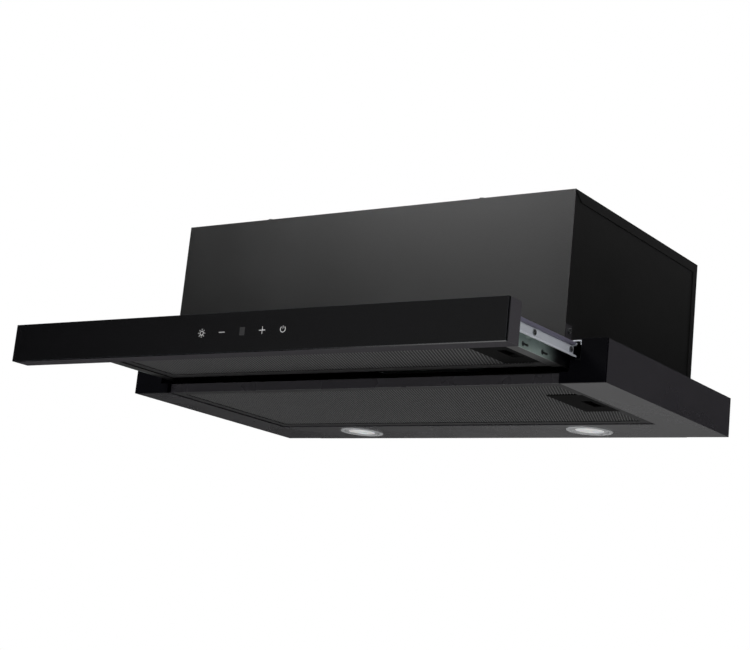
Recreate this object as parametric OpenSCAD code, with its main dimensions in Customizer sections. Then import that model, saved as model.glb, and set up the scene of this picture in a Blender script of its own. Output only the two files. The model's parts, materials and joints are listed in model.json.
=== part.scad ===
// Pull out range hood for a 600 mm wall cabinet, drawn with its shelf pulled out.
// Every piece is drawn from one corner datum, the front of the side rails at their
// underside, and hood_frame() moves it to the part's origin: the middle of the
// cabinet fixing holes, on the top faces of the side rails.

/* [Base] */
// Width over both side rails
base_w = 598; // [560:1:900]
// Depth of the side rails, front to back
base_d = 290; // [280:1:320]
// Height of the side rails
rail_h = 42.5; // [41:0.5:50]
// Width of the box section of a rail
rail_w = 27.5; // [22:0.5:40]
// Width of the ledge inside each box section, which the slide hangs over
ledge_w = 21.5; // [18:0.5:30]
// Thickness of the base's sheet steel
sheet = 1; // [0.8:0.1:1.2]
// Thickness of a rail's moulded front cap
cap_t = 3; // [2:0.5:5]
// Setback of the cross bar behind the caps
bar_y = 6; // [4:0.5:10]
// Top of the cross bar above the base's underside
bar_top = 10.7; // [10:0.1:12]
// Depth of the rear strip that holds the lamps
strip_d = 76; // [66:1:90]

/* [Housing] */
// Height of the whole hood above the base's underside
hood_h = 195; // [185:1:260]
// Setback of the housing's front behind the caps
housing_y = 5; // [2:0.5:8]
// Distance that the housing's back stands behind the rails
rear_step = 2.3; // [1.8:0.1:6]
// Thickness of the housing's sheet steel
skin = 0.8; // [0.6:0.1:1.2]
// Height of the top panel's folded side flange
top_fold = 10.3; // [8:0.1:16]
// Width of the back panel's folded side flange
back_fold = 9.5; // [8:0.1:16]
// Length of the mitre at the front end of the top's flange
mitre = 14; // [11:0.5:20]
// Gap between the rails' tops and the housing's front panel
skirt_gap = 3.5; // [2:0.5:6]

/* [Cabinet fixing] */
// Radius of the cabinet fixing holes in the rails' tops
fix_hole_r = 2.25; // [1.5:0.05:3]
// Distance between the front and rear fixing holes
fix_pitch_y = 210; // [180:1:240]
// Distance of the fixing holes from the rail's outer face
fix_inset = 12; // [8:0.5:14]

/* [Front panel] */
// Width of the front panel
panel_w = 602; // [564:1:904]
// Height of the front panel
panel_h = 39.2; // [36:0.1:50]
// Depth of the front panel, glass included
panel_t = 22; // [18:0.5:30]
// Distance that the panel hangs below the base's underside
panel_drop = 3.3; // [0:0.1:6]
// Thickness of the panel's glass
glass_t = 3.2; // [3:0.1:5]
// Thickness of the tape that bonds the glass
tape_t = 0.8; // [0.5:0.1:1]

/* [Shelf] */
// Travel of the shelf from closed to fully out
travel = 163.5; // [150:0.5:170]
// Gap left between the panel and the caps with the shelf closed
close_gap = 0.5; // [0.3:0.1:2]
// Height of the shelf's underside above the base's underside
shelf_z = 15.6; // [15.2:0.1:17]
// Width of the shelf's ledge beside its filter
shelf_ledge = 12.3; // [10:0.1:16]
// Height of the shelf frame's walls
shelf_wall_h = 14.4; // [12:0.2:16]
// Height that the zinc side plates rise above the slide's middle
plate_rise = 6.2; // [5:0.1:7]
// Depth of the bosses between a side plate and its slide
boss_h = 5.4; // [4:0.1:8]

/* [Slides] */
// Length of a slide member
slide_len = 250; // [240:1:260]
// Height of the fixed slide member
slide_h = 19; // [18:0.5:21]
// Thickness of the whole slide
slide_t = 10.6; // [9.8:0.1:11]
// Thickness of the slide's steel
slide_sheet = 1; // [0.9:0.1:1.2]
// Gap between the slide and the rail's top plate
slide_gap = 0.2; // [0.2:0.1:0.8]
// Radius of the slide's balls
ball_r = 1.5; // [1.2:0.1:1.7]
// Number of balls in each row
ball_n = 6; // [3:1:7]
// Length of the ball cage
cage_len = 78; // [60:1:84]

/* [Grease filters] */
// Thickness of a filter cassette
filter_t = 8; // [7.6:0.1:8.4]
// Width of a filter's rim
rim_w = 10.7; // [8:0.1:16]
// Height of a filter's underside above the ledges' underside
filter_lift = 1.2; // [1.1:0.1:1.6]
// Thickness of a filter's mesh sheet
mesh_t = 0.8; // [0.5:0.1:1]
// Long pitch of the mesh's openings
mesh_pitch = 24; // [18:1:36]
// Width of the mesh's strands
strand = 2.4; // [1.2:0.1:3]
// Play in front of and behind the main filter
filter_play = 0.5; // [0.4:0.1:1]
// Play between the main filter's rim and each ledge
main_side_play = 1.3; // [1:0.1:1.6]
// Play between the shelf filter's rim and each side of its window
shelf_side_play = 0.6; // [0.5:0.1:1]

/* [Filter latches] */
// Width of a latch plate
latch_w = 40; // [36:1:50]
// Length of a latch plate
latch_l = 84; // [70:1:100]
// Width of the finger recess
grip_w = 13; // [11:1:16]
// Length of the finger recess
grip_l = 31; // [24:1:40]
// Travel of the latch slider
latch_travel = 5; // [4:0.5:6]
// Setback of the main filter's latch plate from the rim's edge
main_latch_in = 6.5; // [4:0.5:9]
// Distance of the main filter's latch behind the filter's front edge
main_latch_y = 97; // [60:0.5:140]
// Setback of the shelf filter's latch plate from the rim's edge
shelf_latch_in = 2; // [1.6:0.2:4]
// Distance of the shelf filter's latch behind the filter's front edge
shelf_latch_y = 102.5; // [60:0.5:105]

/* [Lamps] */
// Outer radius of a lamp's bezel
bezel_r = 26; // [20:0.5:30]
// Radius of the visible lens
lens_r = 16; // [12:0.5:18]
// Distance of each lamp from the middle of the hood
lamp_x = 154.5; // [100:0.5:200]
// Distance of the lamps behind the filter opening
lamp_in = 33; // [30:1:44]
// Height of a lamp's body above the base's underside
lamp_h = 12; // [10:0.5:16]

/* [Air outlet] */
// Outer radius of the duct collar
collar_r = 59.5; // [50:0.5:60]
// Height of the duct collar above the housing
collar_h = 32; // [28:1:60]
// Wall of the duct collar
collar_wall = 1.5; // [1:0.1:3]
// Width of the duct collar's flange
collar_flange = 9; // [7:0.5:14]
// Distance of the collar's middle behind the caps
collar_y = 175; // [150:1:190]
// Radius of the pin that the flaps turn on
flap_pin_r = 1.5; // [1:0.1:2]
// Thickness of a flap
flap_t = 1.2; // [0.8:0.1:2]

/* [Blower] */
// Outer radius of the impeller
fan_r = 50; // [44:1:52]
// Width of the impeller
fan_w = 104; // [80:1:120]
// Number of blades on each side of the impeller
blade_n = 30; // [16:1:36]
// Depth of the blade ring
blade_d = 9; // [6:0.5:14]
// Wall of the scroll
scroll_wall = 2; // [1.5:0.1:2.5]
// Distance of the impeller's axis behind the caps
fan_y = 133; // [128:1:138]
// Height of the impeller's axis above the base's underside
fan_z = 121.5; // [121:0.5:124]
// Radius of the scroll where it starts beside the outlet
scroll_r0 = 56.5; // [55:0.5:58]
// Radius of the scroll where it reaches the outlet
scroll_r1 = 79; // [75:0.5:80]
// Radius of the motor's shaft
shaft_r = 4; // [3:0.1:5]
// Radius of the motor's case
motor_r = 34; // [28:1:38]
// Length of the motor's case
motor_l = 62; // [50:1:80]

/* [Electrics] */
// Width of the control box
box_w = 105; // [90:1:120]
// Depth of the control box
box_d = 86; // [74:1:90]
// Height of the control box
box_h = 42; // [32:1:60]
// Gap between the control box and the housing's right side
box_side_gap = 18; // [6:1:30]
// Gap between the control box and the housing's back
box_back_gap = 16; // [6:1:20]
// Width of the lamps' power supply
driver_w = 80; // [60:1:90]
// Depth of the lamps' power supply
driver_d = 40; // [30:1:50]
// Height of the lamps' power supply
driver_h = 22; // [16:1:30]
// Width of the motor's capacitor
capacitor_w = 50; // [36:1:60]
// Depth and height of the motor's capacitor
capacitor_d = 30; // [20:1:36]
// Radius of the cable gland's bore
gland_bore_r = 4; // [3:0.1:5]
// Outer radius of the cable gland's thread
gland_r = 8; // [6.5:0.1:9]

/* [Hidden] */
$fn = 64;
eps = 0.01;
turn_gap = 0.05; // radial running clearance of a pin or shaft
fit_gap = 0.3; // clearance between pieces that move past each other

half_w = base_w / 2;
web_x = half_w - rail_w; // inner face of a rail's box section
bay_x = web_x - ledge_w; // inner edge of a ledge
strip_y = base_d - strip_d; // front edge of the rear strip
back_y = base_d + rear_step; // outer face of the housing's back
panel_back_y = -travel - close_gap; // rear face of the front panel
panel_front_y = panel_back_y - panel_t;
inner_y = panel_back_y + sheet; // front end of an inner slide member
plate_rear = inner_y + slide_len; // rear end of a zinc side plate
sensor_y = plate_rear + travel - 6; // beside the magnet once the shelf is in
tape_y = panel_front_y + glass_t; // back of the glass
shell_y = tape_y + tape_t; // front of the panel's steel shell
skirt_z = rail_h + skirt_gap; // lower edge of the housing's front
top_z = hood_h - skin; // underside of the housing's top
side_x = bay_x - 2 * skin; // inner face of a side panel

plate_in = bay_x - skin + sheet + 0.1; // inner edge of a rail's top plate
slide_z = rail_h - sheet - slide_gap - slide_h / 2; // middle of a slide
slide_x = web_x - slide_t; // face of the slide that carries the shelf
plate_x = slide_x - boss_h; // outer face of a zinc side plate
shelf_x = plate_x - sheet; // outer face of the shelf frame
window_x = shelf_x - shelf_ledge; // edge of the opening in the shelf
swing_gap = 1.5; // room round the shelf filter for its swing
shelf_filter_y = panel_back_y + sheet + swing_gap;
shelf_filter_d = -shelf_filter_y - swing_gap; // its rear edge clears the caps
main_filter_y = bar_y + sheet + filter_play;
main_filter_d = strip_y - filter_play - main_filter_y;
main_rim_x = bay_x - main_side_play; // outer face of the main filter's rim
shelf_rim_x = window_x - shelf_side_play; // outer face of the shelf filter's rim

race_r = ball_r + 0.1; // inner radius of a ball race
race_u = slide_t - slide_sheet - race_r; // ball row, measured from the rail
race_v = slide_h / 2 - slide_sheet - race_r; // ball row, above the slide's middle

fan_in_r = fan_r - blade_d;
scroll_x = fan_w / 2 + 4; // inner face of the scroll's side walls
lamp_y = strip_y + lamp_in;
bezel_tube_r = bezel_r - 2.6;
flap_z = hood_h + 14; // height of the flaps' axis
flap_r = collar_r - collar_wall - 0.7;
fix_x = half_w - fix_inset;
slide_overlap = slide_len - travel; // length that the members share with the shelf out

// ---------- helpers ----------

// Moves the corner datum's geometry to the part's origin.
module hood_frame() translate([0, -base_d / 2, -rail_h]) children();

// Draws the right-hand piece as it is, and the left-hand one mirrored.
module on_side(side) {
    if (side < 0) mirror([1, 0, 0]) children();
    else children();
}

module both_sides() {
    children();
    mirror([1, 0, 0]) children();
}

// A box given by its low and high corners.
module block(low, high) translate(low) cube(high - low);

// A profile drawn in X and Z, carried along Y from y0 to y1.
module along_y(y0, y1) {
    translate([0, y1, 0]) rotate([90, 0, 0]) linear_extrude(y1 - y0) children();
}

// A profile drawn in Y and Z, carried along X from x0 to x1.
module along_x(x0, x1) {
    translate([x0, 0, 0]) rotate([90, 0, 90]) linear_extrude(x1 - x0) children();
}

// A rectangle given by its low and high corners.
module flat(low, high) translate(low) square(high - low);

// A pan-head screw whose head stands on z = 0 and whose shank points down.
module screw(shank_r, shank_l, head_r, head_h) {
    translate([0, 0, -shank_l]) cylinder(r = shank_r, h = shank_l);
    difference() {
        cylinder(r = head_r, h = head_h);
        for (a = [0, 90]) rotate(a)
            translate([-head_r * 0.55, -head_r * 0.12, head_h * 0.5])
                cube([head_r * 1.1, head_r * 0.24, head_h]);
    }
}

// ---------- base ----------

// Side rail: a box section with a closed rear end, a ledge inside it, and a top plate
// that reaches over the slide to the housing.
module base_rail(side) color("#1b1a1e") hood_frame() on_side(side) difference() {
    union() {
        along_y(cap_t, base_d) flat([web_x, 0], [half_w, rail_h]);
        block([bay_x, cap_t, 0], [web_x + sheet, base_d, sheet]);
        block([plate_in, cap_t, rail_h - sheet], [web_x + sheet, base_d, rail_h]);
        block([plate_in, base_d - sheet, 0], [web_x + sheet, base_d, rail_h]);
    }
    along_y(-1, base_d - sheet)
        flat([web_x + sheet, sheet], [half_w - sheet, rail_h - sheet]);
    for (y = [-1, 1] * fix_pitch_y / 2)
        translate([fix_x, base_d / 2 + y, rail_h - sheet - 1])
            cylinder(r = fix_hole_r, h = sheet + 2);
    for (y = slide_screw_ys) translate([web_x - 1, y, slide_z]) rotate([0, 90, 0])
        cylinder(r = slide_screw_r + 0.1, h = sheet + 2);
}

// Moulded cap on a rail's front end, cut away where the slide comes out.
module rail_cap(side) color("#222028") hood_frame() on_side(side) {
    along_y(0, cap_t) difference() {
        flat([bay_x, 0], [half_w, rail_h]);
        flat([bay_x - 1, bar_top - 0.2], [slide_x - fit_gap, rail_h + 1]);
        flat([bay_x - 1, slide_z - slide_h / 2 - fit_gap], [web_x, rail_h + 1]);
    }
    block([bay_x, cap_t - eps, sheet], [bay_x + 2, bar_y, bar_top - 0.2]);
    along_y(cap_t, cap_t + 12) difference() {
        flat([web_x + sheet, sheet], [half_w - sheet, rail_h - sheet]);
        flat([web_x + sheet + 2, sheet + 2], [half_w - sheet - 2, rail_h - sheet - 2]);
    }
}

tab_l = 8; // length of the tabs that stand on the ledges
bar_d = 10; // depth of the cross bar's top flange
// Front lip of the base between the rails, standing on the ledges.
module cross_bar() color("#1d1d1f") hood_frame() {
    bar_z = filter_lift;
    block([-bay_x, bar_y, bar_z], [bay_x, bar_y + sheet, bar_top]);
    block([-bay_x, bar_y, bar_top - sheet], [bay_x, bar_y + bar_d, bar_top]);
    both_sides() {
        block([bay_x - eps, bar_y, sheet], [bay_x + tab_l, bar_y + sheet, bar_top]);
        block([bay_x, bar_y, sheet], [bay_x + tab_l, bar_y + bar_d, sheet * 2]);
    }
}

// Rear strip with the lamp holes, folded up at its front and rear edges.
module lamp_strip() color("#1c1c1e") hood_frame() difference() {
    rear = back_y - skin;
    union() {
        block([-bay_x, strip_y, 0], [bay_x, rear, sheet]);
        block([-bay_x, strip_y, 0], [bay_x, strip_y + sheet, filter_lift + filter_t]);
        block([-bay_x, rear - sheet, 0], [bay_x, rear, rail_h]);
        both_sides() block([bay_x - tab_l, strip_y, sheet],
                           [bay_x + tab_l, strip_y + 20, sheet * 2]);
    }
    both_sides() translate([lamp_x, lamp_y, -1])
        cylinder(r = bezel_tube_r + 0.1, h = sheet + 2);
}

// Chromed ring round each lamp, with a stepped seat for the lens.
module lamp_bezels() color("#b9bbbd") hood_frame() both_sides()
    translate([lamp_x, lamp_y, 0]) rotate_extrude() polygon([
        [lens_r, 0.7], [lens_r + 4, -0.9], [bezel_r - 1.2, -1.2], [bezel_r, -0.5],
        [bezel_r, 0], [bezel_tube_r, 0], [bezel_tube_r, 7], [bezel_tube_r - 1, 7],
        [bezel_tube_r - 1, 1.7], [lens_r, 1.7]
    ]);

// Diffusing lens, which sits in the bezel's opening.
module lamp_lenses() color("#e9eef2") hood_frame() both_sides()
    translate([lamp_x, lamp_y, 0]) {
        translate([0, 0, 0.7]) cylinder(r = lens_r, h = 1.1);
        translate([0, 0, 1.7]) cylinder(r = lens_r + 4, h = 1.5);
    }

// Finned body of each lamp, pushed into the bezel's tube.
module lamp_bodies() color("#8d9094") hood_frame() both_sides()
    translate([lamp_x, lamp_y, 0]) difference() {
        translate([0, 0, 3.2]) cylinder(r = bezel_tube_r - 1, h = lamp_h - 3.2);
        for (a = [0:30:330]) rotate(a)
            translate([bezel_tube_r - 5, -1, 8]) cube([6, 2, lamp_h]);
    }

// ---------- housing ----------

// Front panel, folded back under the top panel, which is screwed to the fold.
module housing_front() color("#1f2021") hood_frame() difference() {
    union() {
        block([-bay_x, housing_y, skirt_z], [bay_x, housing_y + skin, top_z]);
        block([-side_x, housing_y, top_z - skin], [side_x, housing_y + front_fold, top_z]);
        block([-side_x, housing_y, skirt_z],
              [side_x, housing_y + front_fold, skirt_z + skin]);
    }
    top_screw_places() translate([0, 0, -3]) cylinder(r = screw_r + 0.1, h = 4);
}

// Side panel, standing on the brackets inside the folds of the top and back.
module housing_side(side) color("#1a1b1c") hood_frame() on_side(side)
    difference() {
        block([side_x, housing_y + skin, rail_h - sheet],
              [bay_x - skin, back_y - skin, top_z]);
        bracket_screw_places() translate([0, 0, -8]) cylinder(r = screw_r + 0.1, h = 10);
    }

// Top panel with folded side flanges, an outlet and a gland hole.
module housing_top() color("#1f2021") hood_frame() difference() {
    union() {
        block([-bay_x, housing_y, top_z], [bay_x, back_y, hood_h]);
        both_sides() along_x(bay_x - skin, bay_x) polygon([
            [housing_y, hood_h], [housing_y + mitre, hood_h - top_fold],
            [back_y - back_fold, hood_h - top_fold], [back_y - skin, top_z],
            [back_y, top_z], [back_y, hood_h]
        ]);
    }
    translate([0, collar_y, top_z - 1])
        cylinder(r = collar_r - collar_wall, h = skin + 2);
    translate([gland_x, gland_y, top_z - 1]) cylinder(r = gland_r + 0.1, h = skin + 2);
    collar_screw_places() translate([0, 0, -4]) cylinder(r = screw_r + 0.1, h = 5);
    top_screw_places() translate([0, 0, -3]) cylinder(r = screw_r + 0.1, h = 4);
}

// Back panel with folded side flanges, lapped outside the rear strip.
module housing_back() color("#1a1b1c") hood_frame() {
    block([-bay_x, back_y - skin, 20], [bay_x, back_y, top_z]);
    both_sides() along_x(bay_x - skin, bay_x) polygon([
        [back_y - back_fold, skirt_z], [back_y, skirt_z], [back_y, top_z],
        [back_y - skin, top_z], [back_y - back_fold, hood_h - top_fold]
    ]);
}

screw_r = 1.5; // shank radius of the housing's screws
front_fold = 16; // depth of the front panel's folds
top_screw_x = 138; // distance of the top panel's screws from the middle
top_screw_y = housing_y + front_fold / 2;
module top_screw_places() for (x = [-1, 1] * top_screw_x)
    translate([x, top_screw_y, hood_h]) children();

// Brackets that hold the housing on the rails, two on each side. Each foot lies
// under the rail's top plate and carries the side panel's lower edge.
bracket_l = 12;
bracket_top = rail_h + 17;
foot_out = 5; // reach of the foot under the top plate
foot_in = 2; // reach of the foot inside the side panel
bracket_ys = [housing_y + skin, base_d - 40]; // front edges of the brackets
module corner_brackets() color("#202022") hood_frame() both_sides() difference() {
    foot_z = rail_h - 2 * sheet;
    for (y = bracket_ys) {
        block([bay_x - skin, y, foot_z], [bay_x - skin + sheet, y + bracket_l, bracket_top]);
        block([side_x - foot_in, y, foot_z],
              [plate_in + foot_out, y + bracket_l, foot_z + sheet]);
    }
    bracket_screw_places() translate([0, 0, -3]) cylinder(r = screw_r + 0.1, h = 4);
}

// Places of the right-hand brackets' screws, with their heads towards +Z.
module bracket_screw_places() for (y = bracket_ys)
    translate([bay_x - skin + sheet, y + bracket_l / 2, bracket_top - 6])
        rotate([0, 90, 0]) children();

// Screws of the top panel, the brackets and the duct collar.
module housing_screws() color("#8e9092") hood_frame() {
    top_screw_places() screw(screw_r, 5, 3.4, 2.4);
    both_sides() bracket_screw_places() screw(screw_r, 5, 3, 1.8);
    collar_screw_places() screw(screw_r, 7, 3, 1.8);
}

// ---------- air outlet ----------

collar_floor = 2; // thickness of the collar's flange
module collar_screw_places() for (a = [45:90:315])
    translate([0, collar_y, hood_h + collar_floor]) rotate(a)
        translate([collar_r + collar_flange / 2, 0, 0]) children();

// Collar for the duct, with a ledge that the closed flaps lie on.
flap_rest = flap_z - flap_t / 2 - fit_gap; // top of that ledge
ledge_l = 3; // width of that ledge
module duct_collar() color("#202224") hood_frame() difference() {
    inner_r = collar_r - collar_wall;
    translate([0, collar_y, 0]) rotate_extrude() polygon([
        [inner_r, hood_h], [collar_r + collar_flange, hood_h],
        [collar_r + collar_flange, hood_h + collar_floor],
        [collar_r, hood_h + collar_floor], [collar_r, hood_h + collar_h],
        [inner_r, hood_h + collar_h], [inner_r, flap_rest],
        [inner_r - ledge_l, flap_rest], [inner_r - ledge_l, flap_rest - 1.7],
        [inner_r, flap_rest - 1.7 - ledge_l]
    ]);
    translate([-collar_r - 1, collar_y, flap_z]) rotate([0, 90, 0])
        cylinder(r = flap_pin_r, h = 2 * collar_r + 2);
    both_sides() block([inner_r - ledge_l - 1, collar_y - knuckle_r - 1, hood_h + 1],
                       [inner_r - eps, collar_y + knuckle_r + 1, flap_z]);
    collar_screw_places() translate([0, 0, -3]) cylinder(r = screw_r + 0.1, h = 4);
}

module flap_pin() color("#c9cccd") hood_frame()
    translate([-collar_r, collar_y, flap_z]) rotate([0, 90, 0])
        cylinder(r = flap_pin_r, h = 2 * collar_r);

// Half-round flap; its two knuckles turn on the pin between the other's knuckles.
knuckle_r = flap_pin_r + 1.4;
knuckle_l = 12;
hinge_gap = 1; // gap between a flap's plate and the knuckles
knuckle_xs = [-40, 12]; // low ends of the front flap's knuckles; the rear's mirror them
module flap(side) color("#2c2f31") hood_frame() translate([0, collar_y, flap_z])
    rotate(side < 0 ? 0 : 180) difference() {
        union() {
            translate([0, 0, -flap_t / 2]) intersection() {
                cylinder(r = flap_r, h = flap_t);
                block([-flap_r, -flap_r, 0], [flap_r, -knuckle_r - hinge_gap, flap_t]);
            }
            for (x = knuckle_xs) {
                translate([x, 0, 0]) rotate([0, 90, 0])
                    cylinder(r = knuckle_r, h = knuckle_l);
                block([x, -knuckle_r - 2, -flap_t / 2], [x + knuckle_l, 0, flap_t / 2]);
            }
        }
        translate([-collar_r, 0, 0]) rotate([0, 90, 0])
            cylinder(r = flap_pin_r + turn_gap, h = 2 * collar_r);
    }

// ---------- blower ----------

// The scroll's outline: a spiral from the tongue round to the outlet, then up.
scroll_start = 62;
function spiral(a, grow) = let(r = grow + scroll_r0
    + (scroll_r1 - scroll_r0) * (a - scroll_start) / (360 - scroll_start))
    [r * cos(a), r * sin(a)];
function scroll_outline(grow) = concat(
    [[8 - grow, top_z - fan_z]],
    [for (a = [scroll_start:298 / 30:360]) spiral(a, grow)],
    [[scroll_r1 + grow, top_z - fan_z]]);

// One moulded half of the scroll, with its bell mouth and top flange.
module scroll(side) color("#8b9094") hood_frame() on_side(side) difference() {
    translate([0, fan_y, fan_z]) scroll_half();
    collar_screw_places() translate([0, 0, -6]) cylinder(r = screw_r + 0.1, h = 5);
}

module scroll_half() difference() {
    union() {
        along_x(0, scroll_x + scroll_wall) polygon(scroll_outline(scroll_wall));
        block([0, collar_y - fan_y - collar_r - 4, top_z - fan_z - 2],
              [collar_r + 4, collar_y - fan_y + collar_r + 4, top_z - fan_z]);
        translate([scroll_x + scroll_wall, 0, 0]) rotate([0, 90, 0])
            rotate_extrude() polygon([
                [fan_in_r + 1, 0], [fan_in_r + 7, 0], [fan_in_r + 6, 3],
                [fan_in_r + 4.5, 4.5], [fan_in_r + 3, 4.5]
            ]);
    }
    along_x(-1, scroll_x) polygon(scroll_outline(0));
    translate([scroll_x - 1, 0, 0]) rotate([0, 90, 0])
        cylinder(r = fan_in_r + 1, h = 9);
    block([-1, 9, top_z - fan_z - 3], [scroll_x, scroll_r1, top_z - fan_z + 1]);
}

// A forward-curved blade: an arc strip drawn across the blade ring.
blade_t = 1;
function blade_side(grow) = [for (i = [0:6]) let(
    r = fan_in_r + blade_d * i / 6,
    a = 26 * pow(i / 6, 1.6) + grow * 90 / (PI * r))
    [r * cos(a), r * sin(a)]];
module blade_ring() for (i = [0:blade_n - 1]) rotate(360 * i / blade_n)
    polygon(concat(blade_side(0), [for (k = [6:-1:0]) blade_side(blade_t * 2)[k]]));

// Double-inlet impeller: blades between two end rings and a hub disc.
module impeller() color("#3a3d40") hood_frame() translate([0, fan_y, fan_z])
    rotate([0, 90, 0]) difference() {
        union() {
            translate([0, 0, -fan_w / 2]) linear_extrude(fan_w) blade_ring();
            for (z = [-fan_w / 2, fan_w / 2 - 2]) translate([0, 0, z]) difference() {
                cylinder(r = fan_r, h = 2);
                translate([0, 0, -1]) cylinder(r = fan_in_r + 1.5, h = 4);
            }
            translate([0, 0, -1]) cylinder(r = fan_r, h = 2);
            translate([0, 0, -12]) cylinder(r = shaft_r + 6, h = 24);
        }
        translate([0, 0, -fan_w]) cylinder(r = shaft_r, h = 2 * fan_w);
    }

motor_x = -scroll_x - scroll_wall - 8 - motor_l; // far face of the motor
module motor_shaft() color("#c6c8ca") hood_frame()
    translate([motor_x - 6, fan_y, fan_z]) rotate([0, 90, 0])
        cylinder(r = shaft_r, h = 18 - motor_x);

// Motor case with its two end bosses and cooling slots.
module motor() color("#9aa0a4") hood_frame() translate([motor_x, fan_y, fan_z])
    rotate([0, 90, 0]) difference() {
        union() {
            cylinder(r = motor_r, h = motor_l);
            translate([0, 0, -4]) cylinder(r = shaft_r + 5, h = motor_l + 8);
        }
        for (a = [0:45:315]) rotate(a)
            translate([motor_r - 6, -3, 10]) cube([8, 6, motor_l - 20]);
        translate([0, 0, -5]) cylinder(r = shaft_r + turn_gap, h = motor_l + 10);
    }

// Three-armed bracket that holds the motor to the scroll's left inlet.
module motor_bracket() color("#b4b8ba") hood_frame() {
    face = -scroll_x - scroll_wall;
    translate([face - 8, fan_y, fan_z]) rotate([0, 90, 0]) {
        difference() {
            cylinder(r = motor_r, h = 2);
            translate([0, 0, -1]) cylinder(r = motor_r - 6, h = 4);
        }
        for (a = [60:120:300]) rotate(a) {
            translate([motor_r - 3, -5, 0]) cube([fan_in_r + 12 - motor_r, 10, 2]);
            translate([fan_in_r + 8, -5, 0]) cube([3, 10, 8]);
        }
    }
}

// ---------- electrics ----------

module capacitor() color("#d9d9d4") hood_frame() {
    right = motor_x - 10;
    block([right - capacitor_w, fan_y - capacitor_d / 2, top_z - capacitor_d],
          [right, fan_y + capacitor_d / 2, top_z]);
}

// Corners of the control box, and its moulded wall.
box_high = [side_x - box_side_gap, back_y - skin - box_back_gap];
box_low = [box_high[0] - box_w, box_high[1] - box_d];
box_wall = 2;
module control_box() color("#26282a") hood_frame() difference() {
    block([box_low[0], box_low[1], top_z - box_h], [box_high[0], box_high[1], top_z]);
    block([box_low[0] + box_wall, box_low[1] + box_wall, top_z - box_h - 1],
          [box_high[0] - box_wall, box_high[1] - box_wall, top_z - box_wall]);
}

// Lid under the control box, with a row of cooling slots.
lid_lip = 1;
vent_pitch = 10;
vent_w = 3;
module control_box_lid() color("#2d2f31") hood_frame() difference() {
    block([box_low[0] - lid_lip, box_low[1] - lid_lip, top_z - box_h - box_wall],
          [box_high[0] + lid_lip, box_high[1] + lid_lip, top_z - box_h]);
    for (x = [box_low[0] + 1.5 * vent_pitch:vent_pitch:box_high[0] - 1.5 * vent_pitch])
        block([x, box_low[1] + 20, top_z - box_h - box_wall - 1],
              [x + vent_w, box_high[1] - 20, top_z - box_h + 1]);
}

// Control board on four stand-offs, with its relay, transformer and terminals.
board_t = 1.6;
board_drop = 12; // distance of the board below the top panel
module control_board() color("#2f6b3f") hood_frame() {
    top = top_z - board_drop;
    low = top - board_t;
    edge = box_wall + 4;
    block([box_low[0] + edge, box_low[1] + edge, low],
          [box_high[0] - edge, box_high[1] - edge, top]);
    for (x = [box_low[0] + 2 * edge, box_high[0] - 2 * edge],
         y = [box_low[1] + 2 * edge, box_high[1] - 2 * edge])
        translate([x, y, top - eps]) cylinder(r = 3, h = board_drop - box_wall + eps);
    translate([box_low[0] + 20, box_low[1] + 16, low]) block([0, 0, -16], [28, 28, eps]);
    translate([box_low[0] + 60, box_low[1] + 16, low]) block([0, 0, -12], [16, 14, eps]);
    translate([box_low[0] + 20, box_high[1] - 22, low]) block([0, 0, -9], [60, 12, eps]);
}

module led_driver() color("#e4e4e0") hood_frame() {
    right = box_high[0] - 25;
    front = housing_y + front_fold + 30;
    block([right - driver_w, front, top_z - driver_h], [right, front + driver_d, top_z]);
}

gland_x = box_high[0] - 15;
gland_y = box_low[1] - 28;
// Cable gland through the top panel: thread, hexagon and domed nut.
module cable_gland() color("#191a1b") hood_frame() translate([gland_x, gland_y, top_z])
    difference() {
        union() {
            translate([0, 0, -8]) cylinder(r = gland_r, h = 18);
            translate([0, 0, -5]) cylinder(r = gland_r + 3, h = 5, $fn = 6);
            translate([0, 0, skin]) cylinder(r = gland_r + 3, h = 5, $fn = 6);
            translate([0, 0, skin + 5]) cylinder(r1 = gland_r + 2, r2 = gland_r - 1, h = 9);
        }
        translate([0, 0, -9]) cylinder(r = gland_bore_r, h = 30);
    }

// Switch on the rear strip, which the shelf's magnet works once the shelf is in.
module position_sensor() color("#3b3d3f") hood_frame()
    block([bay_x - 16, sensor_y, sheet], [bay_x - 2, sensor_y + 16, shelf_z + 12]);

// ---------- slides ----------

// Part of a ball race: a ring round a ball row between two angles.
module race(a0, a1) difference() {
    circle(r = race_r + slide_sheet);
    circle(r = race_r);
    rotate(a1) translate([-10, 0]) square([20, 10]);
    rotate(a0) translate([-10, -10]) square([20, 10]);
}

// Fixed member in the rail: a channel whose lips wrap the two ball rows.
module fixed_profile() {
    flat([0, -slide_h / 2], [slide_sheet, slide_h / 2]);
    for (m = [0, 1]) mirror([0, m]) {
        flat([0, slide_h / 2 - slide_sheet], [race_u, slide_h / 2]);
        translate([race_u, race_v]) race(0, 90);
    }
}

// Inner member on the shelf: a shallow channel behind the ball rows.
module inner_profile() {
    low = race_v - race_r - slide_sheet;
    flat([slide_t - slide_sheet, -low - slide_sheet], [slide_t, low + slide_sheet]);
    for (m = [0, 1]) mirror([0, m]) {
        flat([race_u, low], [slide_t, low + slide_sheet]);
        translate([race_u, race_v]) race(180, 270);
    }
}

// Carries a slide profile from y0 to y1, with its back on the rail.
module slide_member(y0, y1) translate([web_x, 0, slide_z]) along_y(y0, y1)
    mirror([1, 0]) children();

slide_screw_r = 2; // shank radius of the screws that hold the fixed members
slide_screw_ys = [20, slide_len - 30];
shelf_screw_ys = [20, 90, 160, 230]; // measured from the inner member's front end

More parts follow.
